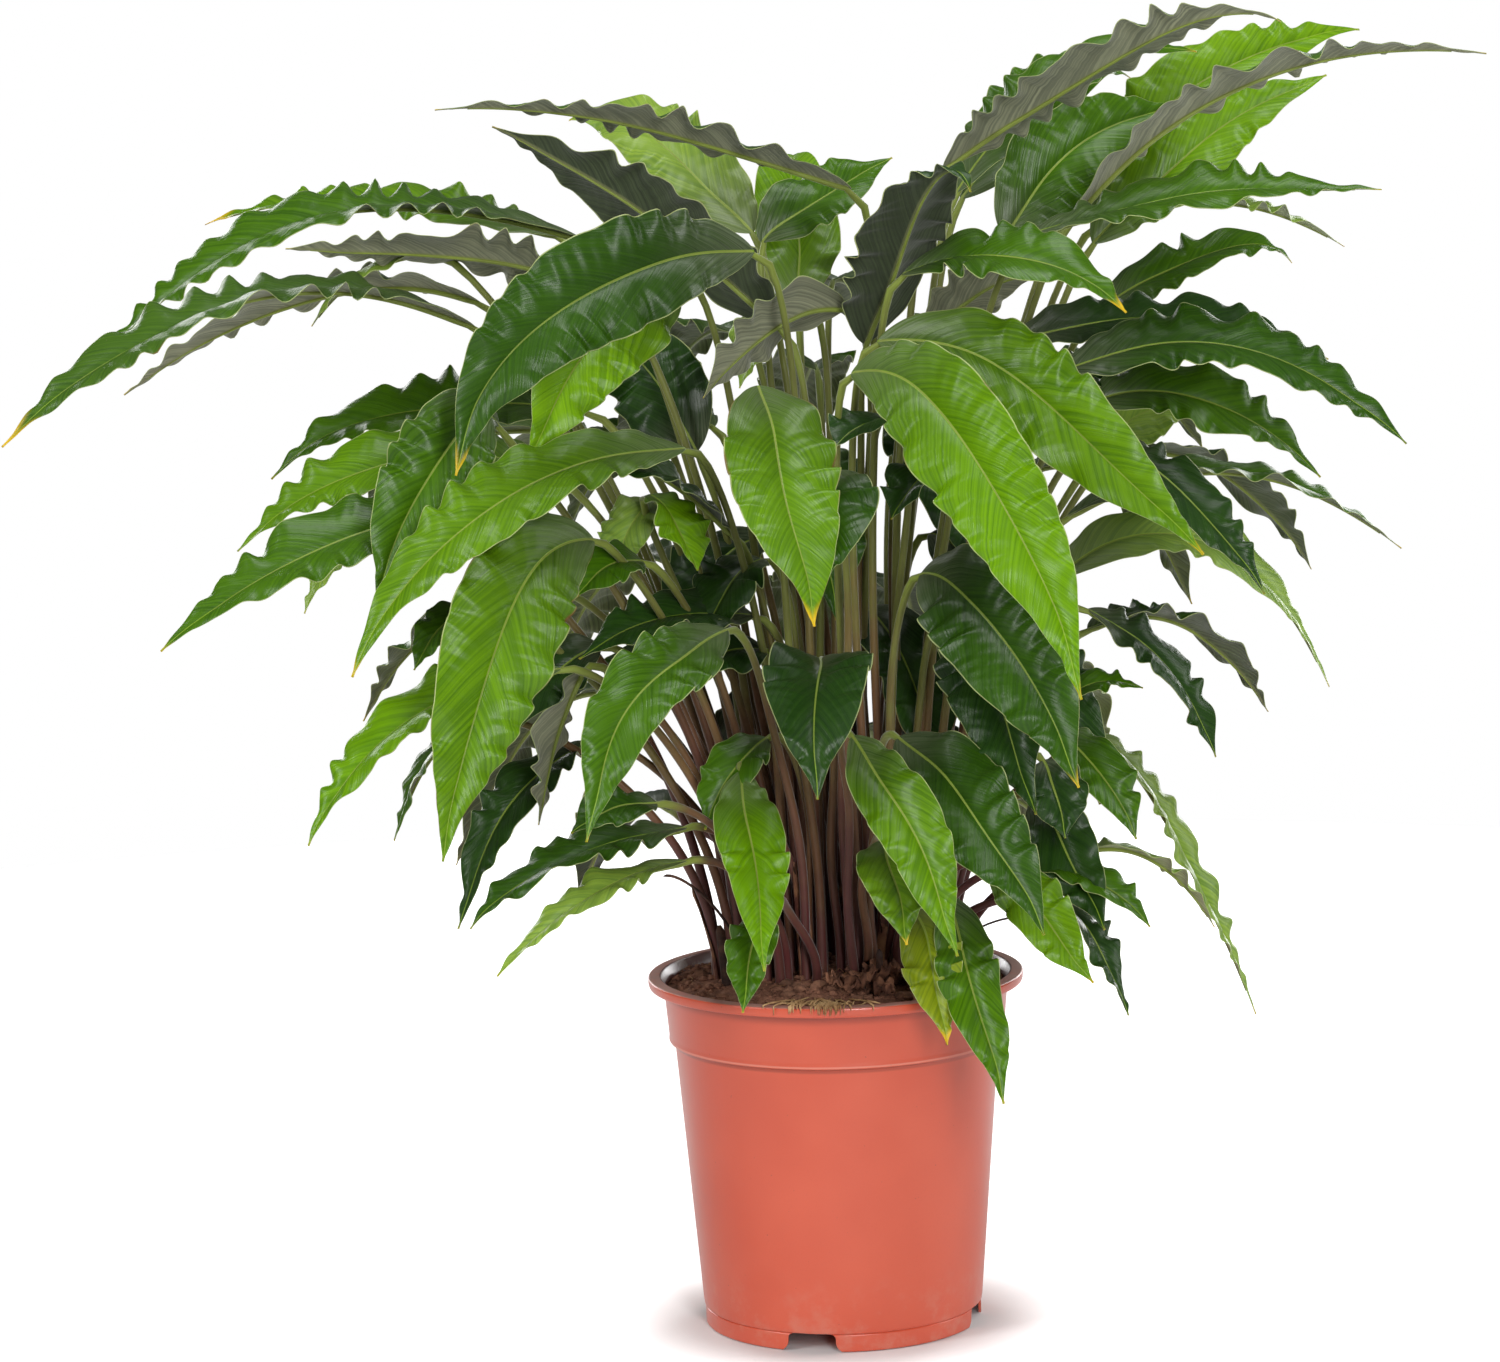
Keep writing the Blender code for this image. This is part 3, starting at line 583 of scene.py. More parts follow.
def crownFeet(rows):
    # each stalk starts on the side that its leaf is on, and neighbours push one another apart
    places = []
    centre = Vector(growth["crown"])
    for row in rows:
        away = Vector(row[0]).xy - centre
        lower = 1 + growth["lowSpread"] * (1 - row[0][2] / growth["crownTop"])
        spread = growth["crownRadius"] * (away.length / growth["reach"]) ** growth["crownSpread"]
        places.append(centre + away.normalized() * spread * lower)
    for _ in range(growth["footRounds"]):
        for i, first in enumerate(places):
            for second in places[i + 1 :]:
                apart = second - first
                if apart.length < growth["footSpacing"]:
                    push = apart.normalized() * (growth["footSpacing"] - apart.length) / 2
                    first -= push
                    second += push
    return [np.array((*place, soilHeight(place.length) - potHeight)) for place in places]


def halfWidth(t, widest):
    wide = blade["widestAt"]
    early = (1 - (1 - np.minimum(t / wide, 1)) ** 2) ** 0.72
    late = np.clip((t - wide) / (1 - wide), 0, 1)
    drawnOut = (1 - late**1.75) * (1 - 0.30 * smoothStep(late, 0.55, 0.9))
    return blade["slimness"] * widest / 2 * np.where(t < wide, early, drawnOut)


def turnedFrame(points, side, roll):
    along = directions(points)
    side = unit(side - along * (along @ side)[:, None])
    up = np.cross(side, along)
    turn = roll[:, None]
    return along, side * np.cos(turn) + up * np.sin(turn), up * np.cos(turn) - side * np.sin(turn)


def gridFaces(rows, columns, closed=False):
    i, j = np.meshgrid(np.arange(rows - 1), np.arange(columns if closed else columns - 1), indexing="ij")
    k = (j + 1) % columns
    a, b = i * columns, (i + 1) * columns
    return np.stack([a + j, a + k, b + k, b + j], axis=-1).reshape(-1, 4)


class Shape:
    # points, faces and all that the materials read, gathered leaf by leaf
    def __init__(self):
        self.points, self.faces, self.kinds, self.corners = [], [], [], []
        self.place, self.edge, self.upper, self.under, self.marks = [], [], [], [], []
        self.count = 0

    def add(self, points, faces, kinds, corners, place, edge, upper, under, marks):
        total = len(points)
        self.points.append(points)
        self.faces.append(faces + self.count)
        self.kinds.append(kinds)
        self.corners.append(corners)
        self.place.append(place)
        self.edge.append(edge)
        self.upper.append(np.tile(upper, (total, 1)))
        self.under.append(np.tile(under, (total, 1)))
        self.marks.append(np.tile(marks, (total, 1)))
        self.count += total

    def mesh(self, name, materials):
        points, faces = np.concatenate(self.points), np.concatenate(self.faces)
        made = bpy.data.meshes.new(name)
        made.vertices.add(len(points))
        made.vertices.foreach_set("co", points.astype(np.float32).ravel())
        made.loops.add(faces.size)
        made.loops.foreach_set("vertex_index", faces.astype(np.int32).ravel())
        made.polygons.add(len(faces))
        made.polygons.foreach_set("loop_start", np.arange(0, faces.size, 4, dtype=np.int32))
        made.update(calc_edges=True)
        for material in materials:
            made.materials.append(material)
        made.polygons.foreach_set("material_index", np.concatenate(self.kinds).astype(np.int32))
        made.polygons.foreach_set("use_smooth", np.ones(len(faces), bool))
        layout = made.uv_layers.new(name="OFBake")
        layout.data.foreach_set("uv", np.concatenate(self.corners).astype(np.float32).ravel())
        for title, kind, values in (
            ("bladePlace", "FLOAT_VECTOR", self.place),
            ("edgeShare", "FLOAT", self.edge),
            ("upperColour", "FLOAT_COLOR", self.upper),
            ("underColour", "FLOAT_COLOR", self.under),
            ("leafMarks", "FLOAT_VECTOR", self.marks),
        ):
            attribute = made.attributes.new(title, kind, "POINT")
            field = {"FLOAT": "value", "FLOAT_VECTOR": "vector", "FLOAT_COLOR": "color"}[kind]
            attribute.data.foreach_set(field, np.concatenate(values).astype(np.float32).ravel())
        made.validate()
        return made


def bladeSurface(row, dice, look):
    base, tip, rise, lead, widest, roll, twist = row[:7]
    base, tip = np.array(base), np.array(tip)
    span = tip - base
    reach = np.linalg.norm(span)
    bend = base + span * lead + np.array((0, 0, reach * rise))
    side = unit(np.cross(span, (0, 0, 1.0)))
    shares = np.linspace(0, 1, blade["stations"])
    middle, length = evenRun([base, bend, tip], shares)
    swing = np.sin(2 * pi * shares * dice.uniform(0.8, 1.3) + dice.uniform(0, 6))
    sway = blade["sway"] * length * swing * smoothStep(shares, 0, 0.3) * smoothStep(1 - shares, 0, 0.2)
    rock = np.radians(dice.uniform(*blade["wobble"]))
    wobble = rock * np.sin(2 * pi * shares * dice.uniform(1.2, 2.2) + dice.uniform(0, 6))
    turn = np.radians(roll + twist * shares) + wobble * smoothStep(shares, 0, 0.2)
    along, across, up = turnedFrame(middle, side, turn)
    middle = middle + across * sway[:, None]
    steps = np.array(blade["acrossSteps"])
    u = np.r_[-steps[::-1], 0, steps]
    half = np.maximum(halfWidth(shares, widest), 0.0007)[:, None]
    size = np.abs(u)[None, :]
    out = half * u
    metres = (shares * length)[:, None]
    height = half * (blade["foldRise"] * size - blade["arch"] * size**2)
    height += -blade["grooveDepth"] * np.exp(-((out / 0.0016) ** 2)) * np.minimum(half / 0.01, 1)
    calm = smoothStep(shares, 0.02, 0.22) * (1 - 0.55 * smoothStep(shares, 0.84, 1.0))
    push = np.zeros_like(out)
    scallop = np.zeros_like(out)
    waves = blade["waveCount"] * length / 0.24
    for sign in (-1, 1):
        here = (np.sign(u) == sign)[None, :]
        count = waves * dice.uniform(0.88, 1.12)
        drift = 0.36 * np.sin(2 * pi * (shares * dice.uniform(1.4, 2.4) + dice.uniform(0, 1)))
        phase = (2 * pi * (count * shares + drift) + dice.uniform(0, 2 * pi))[:, None]
        swell = 0.62 + 0.30 * np.sin(2 * pi * (shares * dice.uniform(1.4, 2.2) + dice.uniform(0, 1)))
        swell += 0.24 * np.sin(2 * pi * (shares * dice.uniform(4.0, 5.5) + dice.uniform(0, 1)))
        deep = blade["waveDepth"] * look[2] * (calm * swell)[:, None] * np.minimum(half / 0.026, 1) ** 0.6
        wave = np.sin(phase) + 0.14 * np.sin(2 * phase + 0.7)
        ripple = 0.05 * np.sin(2.7 * phase + dice.uniform(0, 6))
        height += here * deep * (size**1.8 * wave + size**4 * ripple)
        push += here * deep * size**2 * 0.16 * np.cos(phase)
        lobe = 0.40 - (0.5 + 0.5 * np.cos(phase + 1.0)) ** 1.7
        scallop += here * deep * size**3 * 0.50 * lobe
    vein = metres - leafFinish["veinLean"] * np.abs(out) - leafFinish["veinCurl"] * out**2
    ridge = np.cos(2 * pi * vein / blade["ribSpacing"] + dice.uniform(0, 6))
    height += blade["ribDepth"] * ridge * (size * (1 - size**3) * 1.8) * np.minimum(half / 0.02, 1)
    dimple = np.sin(metres * 70 + dice.uniform(0, 6)) * np.sin(out * 160 + dice.uniform(0, 6))
    height += 0.0005 * dimple * size * np.minimum(half / 0.02, 1)
    lean = cos(radians(blade["squeeze"]))
    grid = (
        middle[:, None, :]
        + across[:, None, :] * (out * lean + np.sign(u) * scallop)[..., None]
        + up[:, None, :] * height[..., None]
        + along[:, None, :] * push[..., None]
    )
    return grid, middle, up, across, shares, u, out, metres


def endCaps(rows, around):
    # strips of quads that close both ends of a tube of points
    caps = []
    for start in (0, (rows - 1) * around):
        for j in range(around // 2 - 1):
            quad = (start + j, start + around - 1 - j, start + around - 2 - j, start + j + 1)
            caps.append(quad if start == 0 else quad[::-1])
    return np.array(caps)


def addBlade(shape, grid, shares, u, out, metres, look, cell, marks):
    rows, columns = grid.shape[:2]
    normals = unit(np.cross(np.gradient(grid, axis=0), np.gradient(grid, axis=1)))
    thick = blade["thickness"] * (1 - 0.45 * np.abs(u) ** 6)
    lower = grid + normals * thick[None, :, None]
    ring = np.concatenate([grid, lower[:, ::-1]], axis=1)
    wide = ring.shape[1]
    faces = gridFaces(rows, wide, closed=True)
    column = np.tile(np.arange(wide), rows - 1)
    kinds = np.where(column < columns - 1, upperKind, underKind)
    kinds[(column == columns - 1) | (column == wide - 1)] = marginKind
    x = np.repeat(shares[:, None], wide, axis=1)
    level = (u + 1) / 2
    y = np.tile(np.r_[0.02 + 0.40 * level, 0.44 + 0.40 * level], (rows, 1))
    layout = np.stack([x, y], axis=-1).reshape(-1, 2)
    corners = layout[faces].copy()
    last = column == wide - 1
    corners[last, 1, 1] = 0.86
    corners[last, 2, 1] = 0.86
    caps = endCaps(rows, wide)
    faces = np.concatenate([faces, caps])
    kinds = np.concatenate([kinds, np.full(len(caps), marginKind)])
    spare = np.zeros((len(caps), 4, 2))
    spare[..., 0] = np.linspace(0.01, 0.99, len(caps))[:, None] + np.array([0, 0, 0.004, 0.004])
    spare[..., 1] = np.array([0.004, 0.008, 0.008, 0.004])
    corners = np.concatenate([corners, spare])

    def bothSides(values):
        return np.concatenate([values, values[:, ::-1]], axis=1).reshape(-1)

    along = bothSides(np.repeat(metres, columns, axis=1))
    share = bothSides(np.repeat(shares[:, None], columns, axis=1))
    place = np.stack([along, bothSides(out), share], axis=1)
    edge = bothSides(np.repeat(np.abs(u)[None, :], rows, axis=0))
    corners = cell[0] + corners * cell[1]
    shape.add(ring.reshape(-1, 3), faces, kinds, corners, place, edge, look[0], look[1], marks)


def addTube(shape, points, radii, shares, look, cell, marks, sides=10):
    side = unit(np.cross(points[-1] - points[0], (0.13, 0.21, 1.0)))
    along = directions(points)
    across = unit(side - along * (along @ side)[:, None])
    up = np.cross(across, along)
    turns = 2 * pi * np.arange(sides) / sides
    ring = (
        points[:, None, :]
        + across[:, None, :] * (radii[:, None] * np.cos(turns))[..., None]
        + up[:, None, :] * (radii[:, None] * np.sin(turns))[..., None]
    )
    rows = len(points)
    faces = gridFaces(rows, sides, closed=True)
    x = np.repeat(np.linspace(0, 1, rows)[:, None], sides + 1, axis=1)
    y = np.tile(0.88 + 0.10 * np.arange(sides + 1) / sides, (rows, 1))
    corners = np.stack([x, y], axis=-1).reshape(-1, 2)[gridFaces(rows, sides + 1)]
    caps = endCaps(rows, sides)
    faces = np.concatenate([faces, caps])
    spare = np.array([[0.99, 0.99], [0.995, 0.99], [0.995, 0.995], [0.99, 0.995]])
    corners = np.concatenate([corners, np.tile(spare, (len(caps), 1, 1))])
    lengths = np.r_[0, np.cumsum(np.linalg.norm(np.diff(points, axis=0), axis=1))]
    around = np.tile(0.002 * np.cos(turns), rows)
    place = np.stack([np.repeat(lengths, sides), around, np.repeat(shares, sides)], axis=1)
    corners = cell[0] + corners * cell[1]
    kinds = np.full(len(faces), stalkKind)
    edge = np.zeros(rows * sides)
    shape.add(ring.reshape(-1, 3), faces, kinds, corners, place, edge, look[0], look[1], marks)


def stalkPath(row, foot, shares):
    # from the soil up to the base of the blade, both measured from the middle of the rim
    base, tip = np.array(row[0]), np.array(row[1])
    span = tip - base
    bend = span * row[3] + np.array((0, 0, np.linalg.norm(span) * row[2]))
    climb = foot + np.array((0, 0, np.linalg.norm(base - foot) * growth["stalkRise"]))
    return evenRun([foot, climb, base - unit(bend) * growth["knee"], base], shares)


def growLeaf(shape, row, foot, seed, cell=((0, 0), 1)):
    dice = np.random.default_rng(seed)
    look = leafLooks[row[7]]
    cell = (np.array(cell[0]), cell[1])
    tipShare = row[8] if len(row) > 8 else look[3]
    scorch = row[9] if len(row) > 9 else 0.0
    marks = (tipShare * dice.uniform(0.8, 1.2), scorch, seed * 1.37 % 23)
    grid, middle, up, across, shares, u, out, metres = bladeSurface(row, dice, look)
    grid = grid + np.array(rimMiddle)
    middle = middle + np.array(rimMiddle)
    addBlade(shape, grid, shares, u, out, metres, look, cell, marks)
    stalkShares = np.linspace(0, 1, growth["stations"])
    stalk, stalkLength = stalkPath(row, foot, stalkShares)
    stalk = stalk + np.array(rimMiddle)
    bow = growth["bow"] * np.sin(pi * stalkShares) * np.sin(2.3 * pi * stalkShares + dice.uniform(0, 6))
    stalk = stalk + across[0] * bow[:, None]
    radii = growth["footRadius"] + (growth["topRadius"] - growth["footRadius"]) * stalkShares
    radii = radii * (1 + growth["footFlare"] * np.exp(-stalkShares / 0.05))
    swelling = np.exp(-(((1 - stalkShares) * stalkLength - 0.012) / 0.010) ** 2)
    radii = radii * (1 + growth["swelling"] * swelling)
    # the stalk runs on under the blade as its midrib
    keep = slice(2, int(blade["stations"] * 0.93), 4)
    ribShares = shares[keep]
    ribRadii = growth["topRadius"] * (1 - ribShares / 0.95) ** 0.8 * 0.75 + 0.0002
    drop = smoothStep(ribShares, -0.02, 0.05)
    ribLine = middle[keep] - up[keep] * (blade["grooveDepth"] + ribRadii * 0.72 * drop)[:, None]
    points = np.concatenate([stalk[:-1], ribLine])
    allRadii = np.concatenate([radii[:-1], ribRadii])
    allShares = np.concatenate([stalkShares[:-1], 1 + ribShares])
    addTube(shape, points, allRadii, allShares, look, cell, marks)


def makeLeaves():
    rows = list(leaves.values())
    fillerRows = list(fillers.values())
    feet = crownFeet(rows)
    for place, (name, row) in enumerate(leaves.items()):
        shape = Shape()
        growLeaf(shape, row, feet[place], growth["leafSeed"] + place)
        addPiece(name + "_grown", shape.mesh(name, leafMaterials), [name])
    print("leaves grown:", len(leaves))
    groups = sorted({name.split("_")[0] for name in fillers})
    fillerFeet = dict(zip(fillers, crownFeet(rows + fillerRows)[len(rows) :]))
    for group in groups:
        shape = Shape()
        members = [name for name in fillers if name.split("_")[0] == group]
        cells = int(np.ceil(len(members) ** 0.5))
        for i, name in enumerate(members):
            corner = ((i % cells) / cells, (i // cells) / cells)
            seed = growth["fillerSeed"] + list(fillers).index(name)
            growLeaf(shape, fillers[name], fillerFeet[name], seed, (corner, 1 / cells))
        addPiece(group + "_leaves", shape.mesh(group, leafMaterials))
    print("filler leaves grown:", len(fillers))


makeLeaves()


# pot

pot = {
    "segments": 192,
    "rimWidth": 0.007,
    "rimThickness": 0.006,
    "overhang": 0.0085,
    "bandHeight": 0.030,
    "bandStep": 0.003,
    "taper": 0.082,
    "footHeight": 0.0107,
    "seamDepth": 0.0008,
    "wall": 0.0015,
    "floor": 0.0018,
    "notches": 4,
    "notchWidth": 0.027,
    "notchFlare": 0.0035,
    "firstNotch": radians(-104.4),
    "drainHoles": 8,
    "drainRadius": 0.0045,
    "drainRing": 0.62,
    "bevelSteps": 5,
}

potFinish = {
    "dark": tone(204, 82, 55),
    "light": tone(214, 93, 65),
    "speck": tone(190, 80, 60),
    "dust": tone(176, 142, 132),
    "footDust": tone(205, 150, 132),
    "fleck": tone(120, 70, 56),
    # painted highlight for the lip at the step, then painted shade beneath it and under the rim
    "lip": tone(232, 152, 132),
    "shade": tone(128, 50, 38),
    # painted shade for the inside walls of the pot
    "insideShade": tone(104, 44, 36),
    "grime": tone(150, 124, 114),
}

bandTop = potHeight - pot["rimThickness"]
bandBottom = bandTop - pot["bandHeight"]


def bandRadius(height):
    return rimRadius - pot["overhang"] - (bandTop - height) * pot["taper"]


def roundedOutline(corners):
    # corners are (radius, height, bevel); each one is rounded off over its bevel
    outline = []
    for i, (radius, height, bevel) in enumerate(corners):
        here = Vector((radius, height))
        if bevel == 0 or i in (0, len(corners) - 1):
            outline.append(here)
            continue
        before = Vector(corners[i - 1][:2]) - here
        after = Vector(corners[i + 1][:2]) - here
        start = here + before.normalized() * min(bevel, before.length * 0.45)
        end = here + after.normalized() * min(bevel, after.length * 0.45)
        for step in range(pot["bevelSteps"] + 1):
            t = step / pot["bevelSteps"]
            outline.append(start.lerp(here, t).lerp(here.lerp(end, t), t))
    return outline


def spin(name, outline, segments, material):
    # the outline runs from the axis round to the axis
    points = [(0, 0, outline[0].y), (0, 0, outline[-1].y)]
    rings = outline[1:-1]
    for step in range(segments):
        turn = 2 * pi * step / segments
        points += [(p.x * cos(turn), p.x * sin(turn), p.y) for p in rings]
    faces = []
    count = len(rings)
    for step in range(segments):
        here, there = 2 + step * count, 2 + (step + 1) % segments * count
        faces.append((0, there, here))
        faces.append((1, here + count - 1, there + count - 1))
        faces += [(here + i, there + i, there + i + 1, here + i + 1) for i in range(count - 1)]
    mesh = bpy.data.meshes.new(name)
    mesh.from_pydata([Vector(p) + potAxis for p in points], [], faces)
    mesh.materials.append(material)
    mesh.polygons.foreach_set("use_smooth", [True] * len(faces))
    return mesh


def blockBetween(first, second):
    # a closed block between two outlines that have the same number of points
    count = len(first)
    sides = [(i, (i + 1) % count, count + (i + 1) % count, count + i) for i in range(count)]
    return first + second, [tuple(reversed(range(count))), tuple(range(count, 2 * count)), *sides]


def potCutters():
    # one mesh that holds the notches in the foot and the drain holes in the floor
    points, faces, blocks = [], [], []
    foot = bandRadius(pot["footHeight"]) - pot["bandStep"]
    half, top = pot["notchWidth"] / 2, pot["footHeight"] - pot["seamDepth"]
    flared = half + pot["notchFlare"]
    right = [(flared, -0.01, 0), (flared, -0.0002, 0.0001), (half, 0.0030, 0.0030), (half, top, 0.0036)]
    left = [(-x, height, bevel) for x, height, bevel in reversed(right)]
    outline = roundedOutline([(0, -0.01, 0), *right, *left])
    for i in range(pot["notches"]):
        turn = pot["firstNotch"] + 2 * pi * i / pot["notches"]
        ahead, side = Vector((cos(turn), sin(turn), 0)), Vector((-sin(turn), cos(turn), 0))
        near = [ahead * foot * 0.85 + side * p.x + Vector((0, 0, p.y)) for p in outline]
        far = [ahead * foot * 1.15 + side * p.x + Vector((0, 0, p.y)) for p in outline]
        blocks.append(blockBetween(near, far))
    ring = (foot - pot["wall"]) * pot["drainRing"]
    drainTurns = np.linspace(0, 2 * pi, 25)[:-1]
    for i in range(pot["drainHoles"]):
        turn = pot["firstNotch"] + 2 * pi * (i + 0.5) / pot["drainHoles"]
        middle = Vector((cos(turn), sin(turn))) * ring
        hole = [middle + Vector((cos(a), sin(a))) * pot["drainRadius"] for a in drainTurns]
        low = [(*corner, 0.004) for corner in hole]
        high = [(*corner, pot["footHeight"] + 0.01) for corner in hole]
        blocks.append(blockBetween(low, high))
    for somePoints, someFaces in blocks:
        faces += [tuple(len(points) + i for i in face) for face in someFaces]
        points += [Vector(p) + potAxis for p in somePoints]
    mesh = bpy.data.meshes.new("cutters")
    mesh.from_pydata(points, [], faces)
    return mesh


def makePlastic():
    material, tree, shader = newMaterial(
        "terracottaPlastic", specular=0.6, Coat_Weight=0.25, Coat_Roughness=0.22
    )
    place = objectPlace(tree)
    x, y, z = splitVector(tree, place)
    normal = tree.nodes.new("ShaderNodeNewGeometry").outputs["Normal"]
    cloud = grain(tree, place, 9.0, 3.0)
    speck = grain(tree, place, 900.0, 2.0, 0.7)
    dustCloud = grain(tree, place, 60.0, 5.0, 0.65)
    flecks = grain(tree, place, 420.0, 1.0)
    colour = blendColour(tree, ramp(tree, cloud, 0.3, 0.7), potFinish["dark"], potFinish["light"])
    colour = tint(tree, colour, potFinish["speck"], speck, 0.55, 0.8, 0.25)
    # dust lies on top of the rim and scale round the foot
    facingUp = ramp(tree, splitVector(tree, normal)[2], 0.55, 0.95)
    high = ramp(tree, z, potHeight - 0.012, potHeight - 0.002)
    rimTop = times(tree, facingUp, high)
    dust = times(tree, rimTop, ramp(tree, dustCloud, 0.25, 0.6, 0.35, 0.85))
    colour = blendColour(tree, dust, colour, potFinish["dust"])
    low = times(tree, ramp(tree, z, 0.05, 0.0, 0.0, 0.35), ramp(tree, dustCloud, 0.45, 0.7))
    colour = blendColour(tree, low, colour, potFinish["footDust"])
    colour = tint(tree, colour, potFinish["fleck"], flecks, 0.78, 0.81, 0.4)
    # a painted highlight along the lip at the step with painted shade beneath it, and painted shade under
    # the rim
    fromLip = calc(tree, "ABSOLUTE", minus(tree, z, bandBottom + 0.0004))
    colour = tint(tree, colour, potFinish["lip"], fromLip, 0.0008, 0.0003, 0.5)
    fromShade = calc(tree, "ABSOLUTE", minus(tree, z, bandBottom - 0.0021))
    colour = tint(tree, colour, potFinish["shade"], fromShade, 0.0019, 0.0006, 0.42)
    below = ramp(tree, z, bandTop + 0.0003, bandTop - 0.0001)
    under = times(tree, ramp(tree, z, bandTop - 0.007, bandTop - 0.001, 0.0, 0.5), below)
    colour = blendColour(tree, under, colour, potFinish["shade"])
    # painted shade: the inside is darkened, with grime near the top; there a face looks towards the axis
    middle = joinVector(tree, potAxis.x, potAxis.y, 0.0)
    outward = vectorCalc(tree, "SUBTRACT", joinVector(tree, x, y, 0.0), middle)[0]
    facing = vectorCalc(tree, "DOT_PRODUCT", outward, normal)["Value"]
    grime = times(tree, high, ramp(tree, dustCloud, 0.52, 0.66))
    insideShade = blendColour(tree, grime, potFinish["insideShade"], potFinish["grime"])
    colour = tint(tree, colour, insideShade, facing, -0.01, -0.03)
    tree.links.new(colour, shader.inputs["Base Color"])
    rough = plus(tree, ramp(tree, cloud, 0.2, 0.8, 0.27, 0.34), times(tree, dust, 0.35))
    tree.links.new(rough, shader.inputs["Roughness"])
    stretched = [times(tree, value, scale) for value, scale in ((x, 700), (y, 700), (z, 30))]
    streak = grain(tree, joinVector(tree, *stretched), 1.0, 2.0)
    height = plus(tree, times(tree, streak, 0.4), times(tree, speck, 0.4))
    addBump(tree, shader, height, 0.18, 0.0002)
    return material


def makePot():
    wallTop = bandBottom - pot["bandStep"]
    wall, step, foot = pot["wall"], pot["bandStep"], pot["footHeight"]
    inset = pot["seamDepth"]
    footRadius = bandRadius(foot) - step - inset
    floorTop = foot + pot["floor"]
    outline = roundedOutline(
        [
            (0, foot, 0),
            (footRadius - wall - 0.004, foot, 0.001),
            (footRadius - wall, foot - 0.002, 0.001),
            (footRadius - wall, 0, 0.0004),
            (footRadius, 0, 0.0008),
            (footRadius, foot - inset - 0.0006, 0.0004),
            (footRadius - 0.0007, foot - inset, 0.0002),
            (bandRadius(foot) - step - 0.0002, foot - 0.0003, 0.0005),
            (bandRadius(foot + 0.003) - step, foot + 0.003, 0.001),
            (bandRadius(wallTop) - step, wallTop, 0.0008),
            (bandRadius(bandBottom) - step + 0.0006, bandBottom - 0.0012, 0.0004),
            (bandRadius(bandBottom) + 0.0002, bandBottom - 0.0004, 0.0007),
            (bandRadius(bandBottom), bandBottom + 0.0030, 0.0008),
            (bandRadius(bandTop), bandTop, 0.0012),
            (rimRadius - 0.0006, bandTop, 0.0010),
            (rimRadius, bandTop + 0.0016, 0.0008),
            (rimRadius, potHeight - 0.0004, 0.0012),
            (rimRadius - pot["rimWidth"], potHeight, 0.0012),
            (bandRadius(bandTop) - wall, bandTop, 0.0020),
            (bandRadius(bandBottom) - wall, bandBottom, 0.0010),
            (bandRadius(wallTop) - step - wall, wallTop, 0.0010),
            (bandRadius(floorTop) - step - wall, floorTop, 0.0020),
            (0, floorTop, 0),
        ]
    )
    piece = addObject("potTurned", spin("potShell", outline, pot["segments"], makePlastic()))
    cutters = addObject("potCutters", potCutters())
    cut = piece.modifiers.new("notches and holes", "BOOLEAN")
    cut.object = cutters
    cut.solver = "EXACT"
    ready = bpy.data.meshes.new_from_object(piece.evaluated_get(bpy.context.evaluated_depsgraph_get()))
    bpy.data.objects.remove(piece)
    bpy.data.objects.remove(cutters)
    ready.set_sharp_from_angle(angle=radians(40))
    addPiece("pot_shell", ready, ["pot"])
    print("pot turned,", len(ready.polygons), "faces")


makePot()


# soil

soil = {
    "rings": 64,
    "segments": 180,
    "edge": 0.0947,
    "lift": 0.0075,
    "frontLift": 0.0025,
    "lowRadius": 0.0895,
    "depth": 0.040,  # of the underside below the rim
    "roughness": 0.0024,
    "lumpScale": 55,
    "grit": 0.0007,
    "gritScale": 420,
    "crumbs": 1100,
    "crumbSize": (0.0009, 0.0034),
    "fibres": 64,
    "fibreRadius": 0.00026,
    "seed": 7,
}


def soilSurface(x, y):
    radius = (x * x + y * y) ** 0.5
    here = Vector((x, y, 0.3))
    lumps = noise.fractal(here * soil["lumpScale"], 1.0, 2.0, 4) * soil["roughness"]
    grit = noise.noise(here * soil["gritScale"]) * soil["grit"]
    fade = 1 - float(smoothStep(radius, soil["edge"] * 0.93, soil["edge"]))
    lift = soil["lift"] + soil["frontLift"] * float(smoothStep(-y, 0.0, 0.08))
    return float(soilHeight(radius, soil["edge"])) + lift + (lumps + grit) * (0.35 + 0.65 * fade) - 0.0006


def nearSoil(x, y, lift=0.0):
    return Vector((x + potAxis.x, y + potAxis.y, soilSurface(x, y) + lift))


def makePeat():
    material, tree, shader = newMaterial("darkPeat", roughness=0.95, specular=0.15)
    place = objectPlace(tree)
    lump = grain(tree, place, 120.0, 5.0, 0.7)
    grit = grain(tree, place, 900.0, 3.0, 0.7)
    colour = blendColour(tree, ramp(tree, lump, 0.3, 0.7), tone(88, 58, 47), tone(160, 114, 92))
    colour = tint(tree, colour, tone(146, 106, 80), grit, 0.58, 0.75, 0.7)
    finishShader(tree, shader, colour, plus(tree, lump, times(tree, grit, 0.5)), 0.8, 0.0012)
    return material


def makeDryMaterial(name, dark, light, roughness):
    material, tree, shader = newMaterial(name, roughness=roughness, specular=0.3)
    place = objectPlace(tree)
    cloud = grain(tree, place, 90.0, 4.0, 0.6)
    thread = grain(tree, place, 700.0, 3.0, 0.6)
    colour = blendColour(tree, ramp(tree, cloud, 0.3, 0.7), dark, light)
    colour = tint(tree, colour, dark, thread, 0.5, 0.8, 0.4)
    finishShader(tree, shader, colour, plus(tree, cloud, thread), 0.5, 0.0005)
    return material


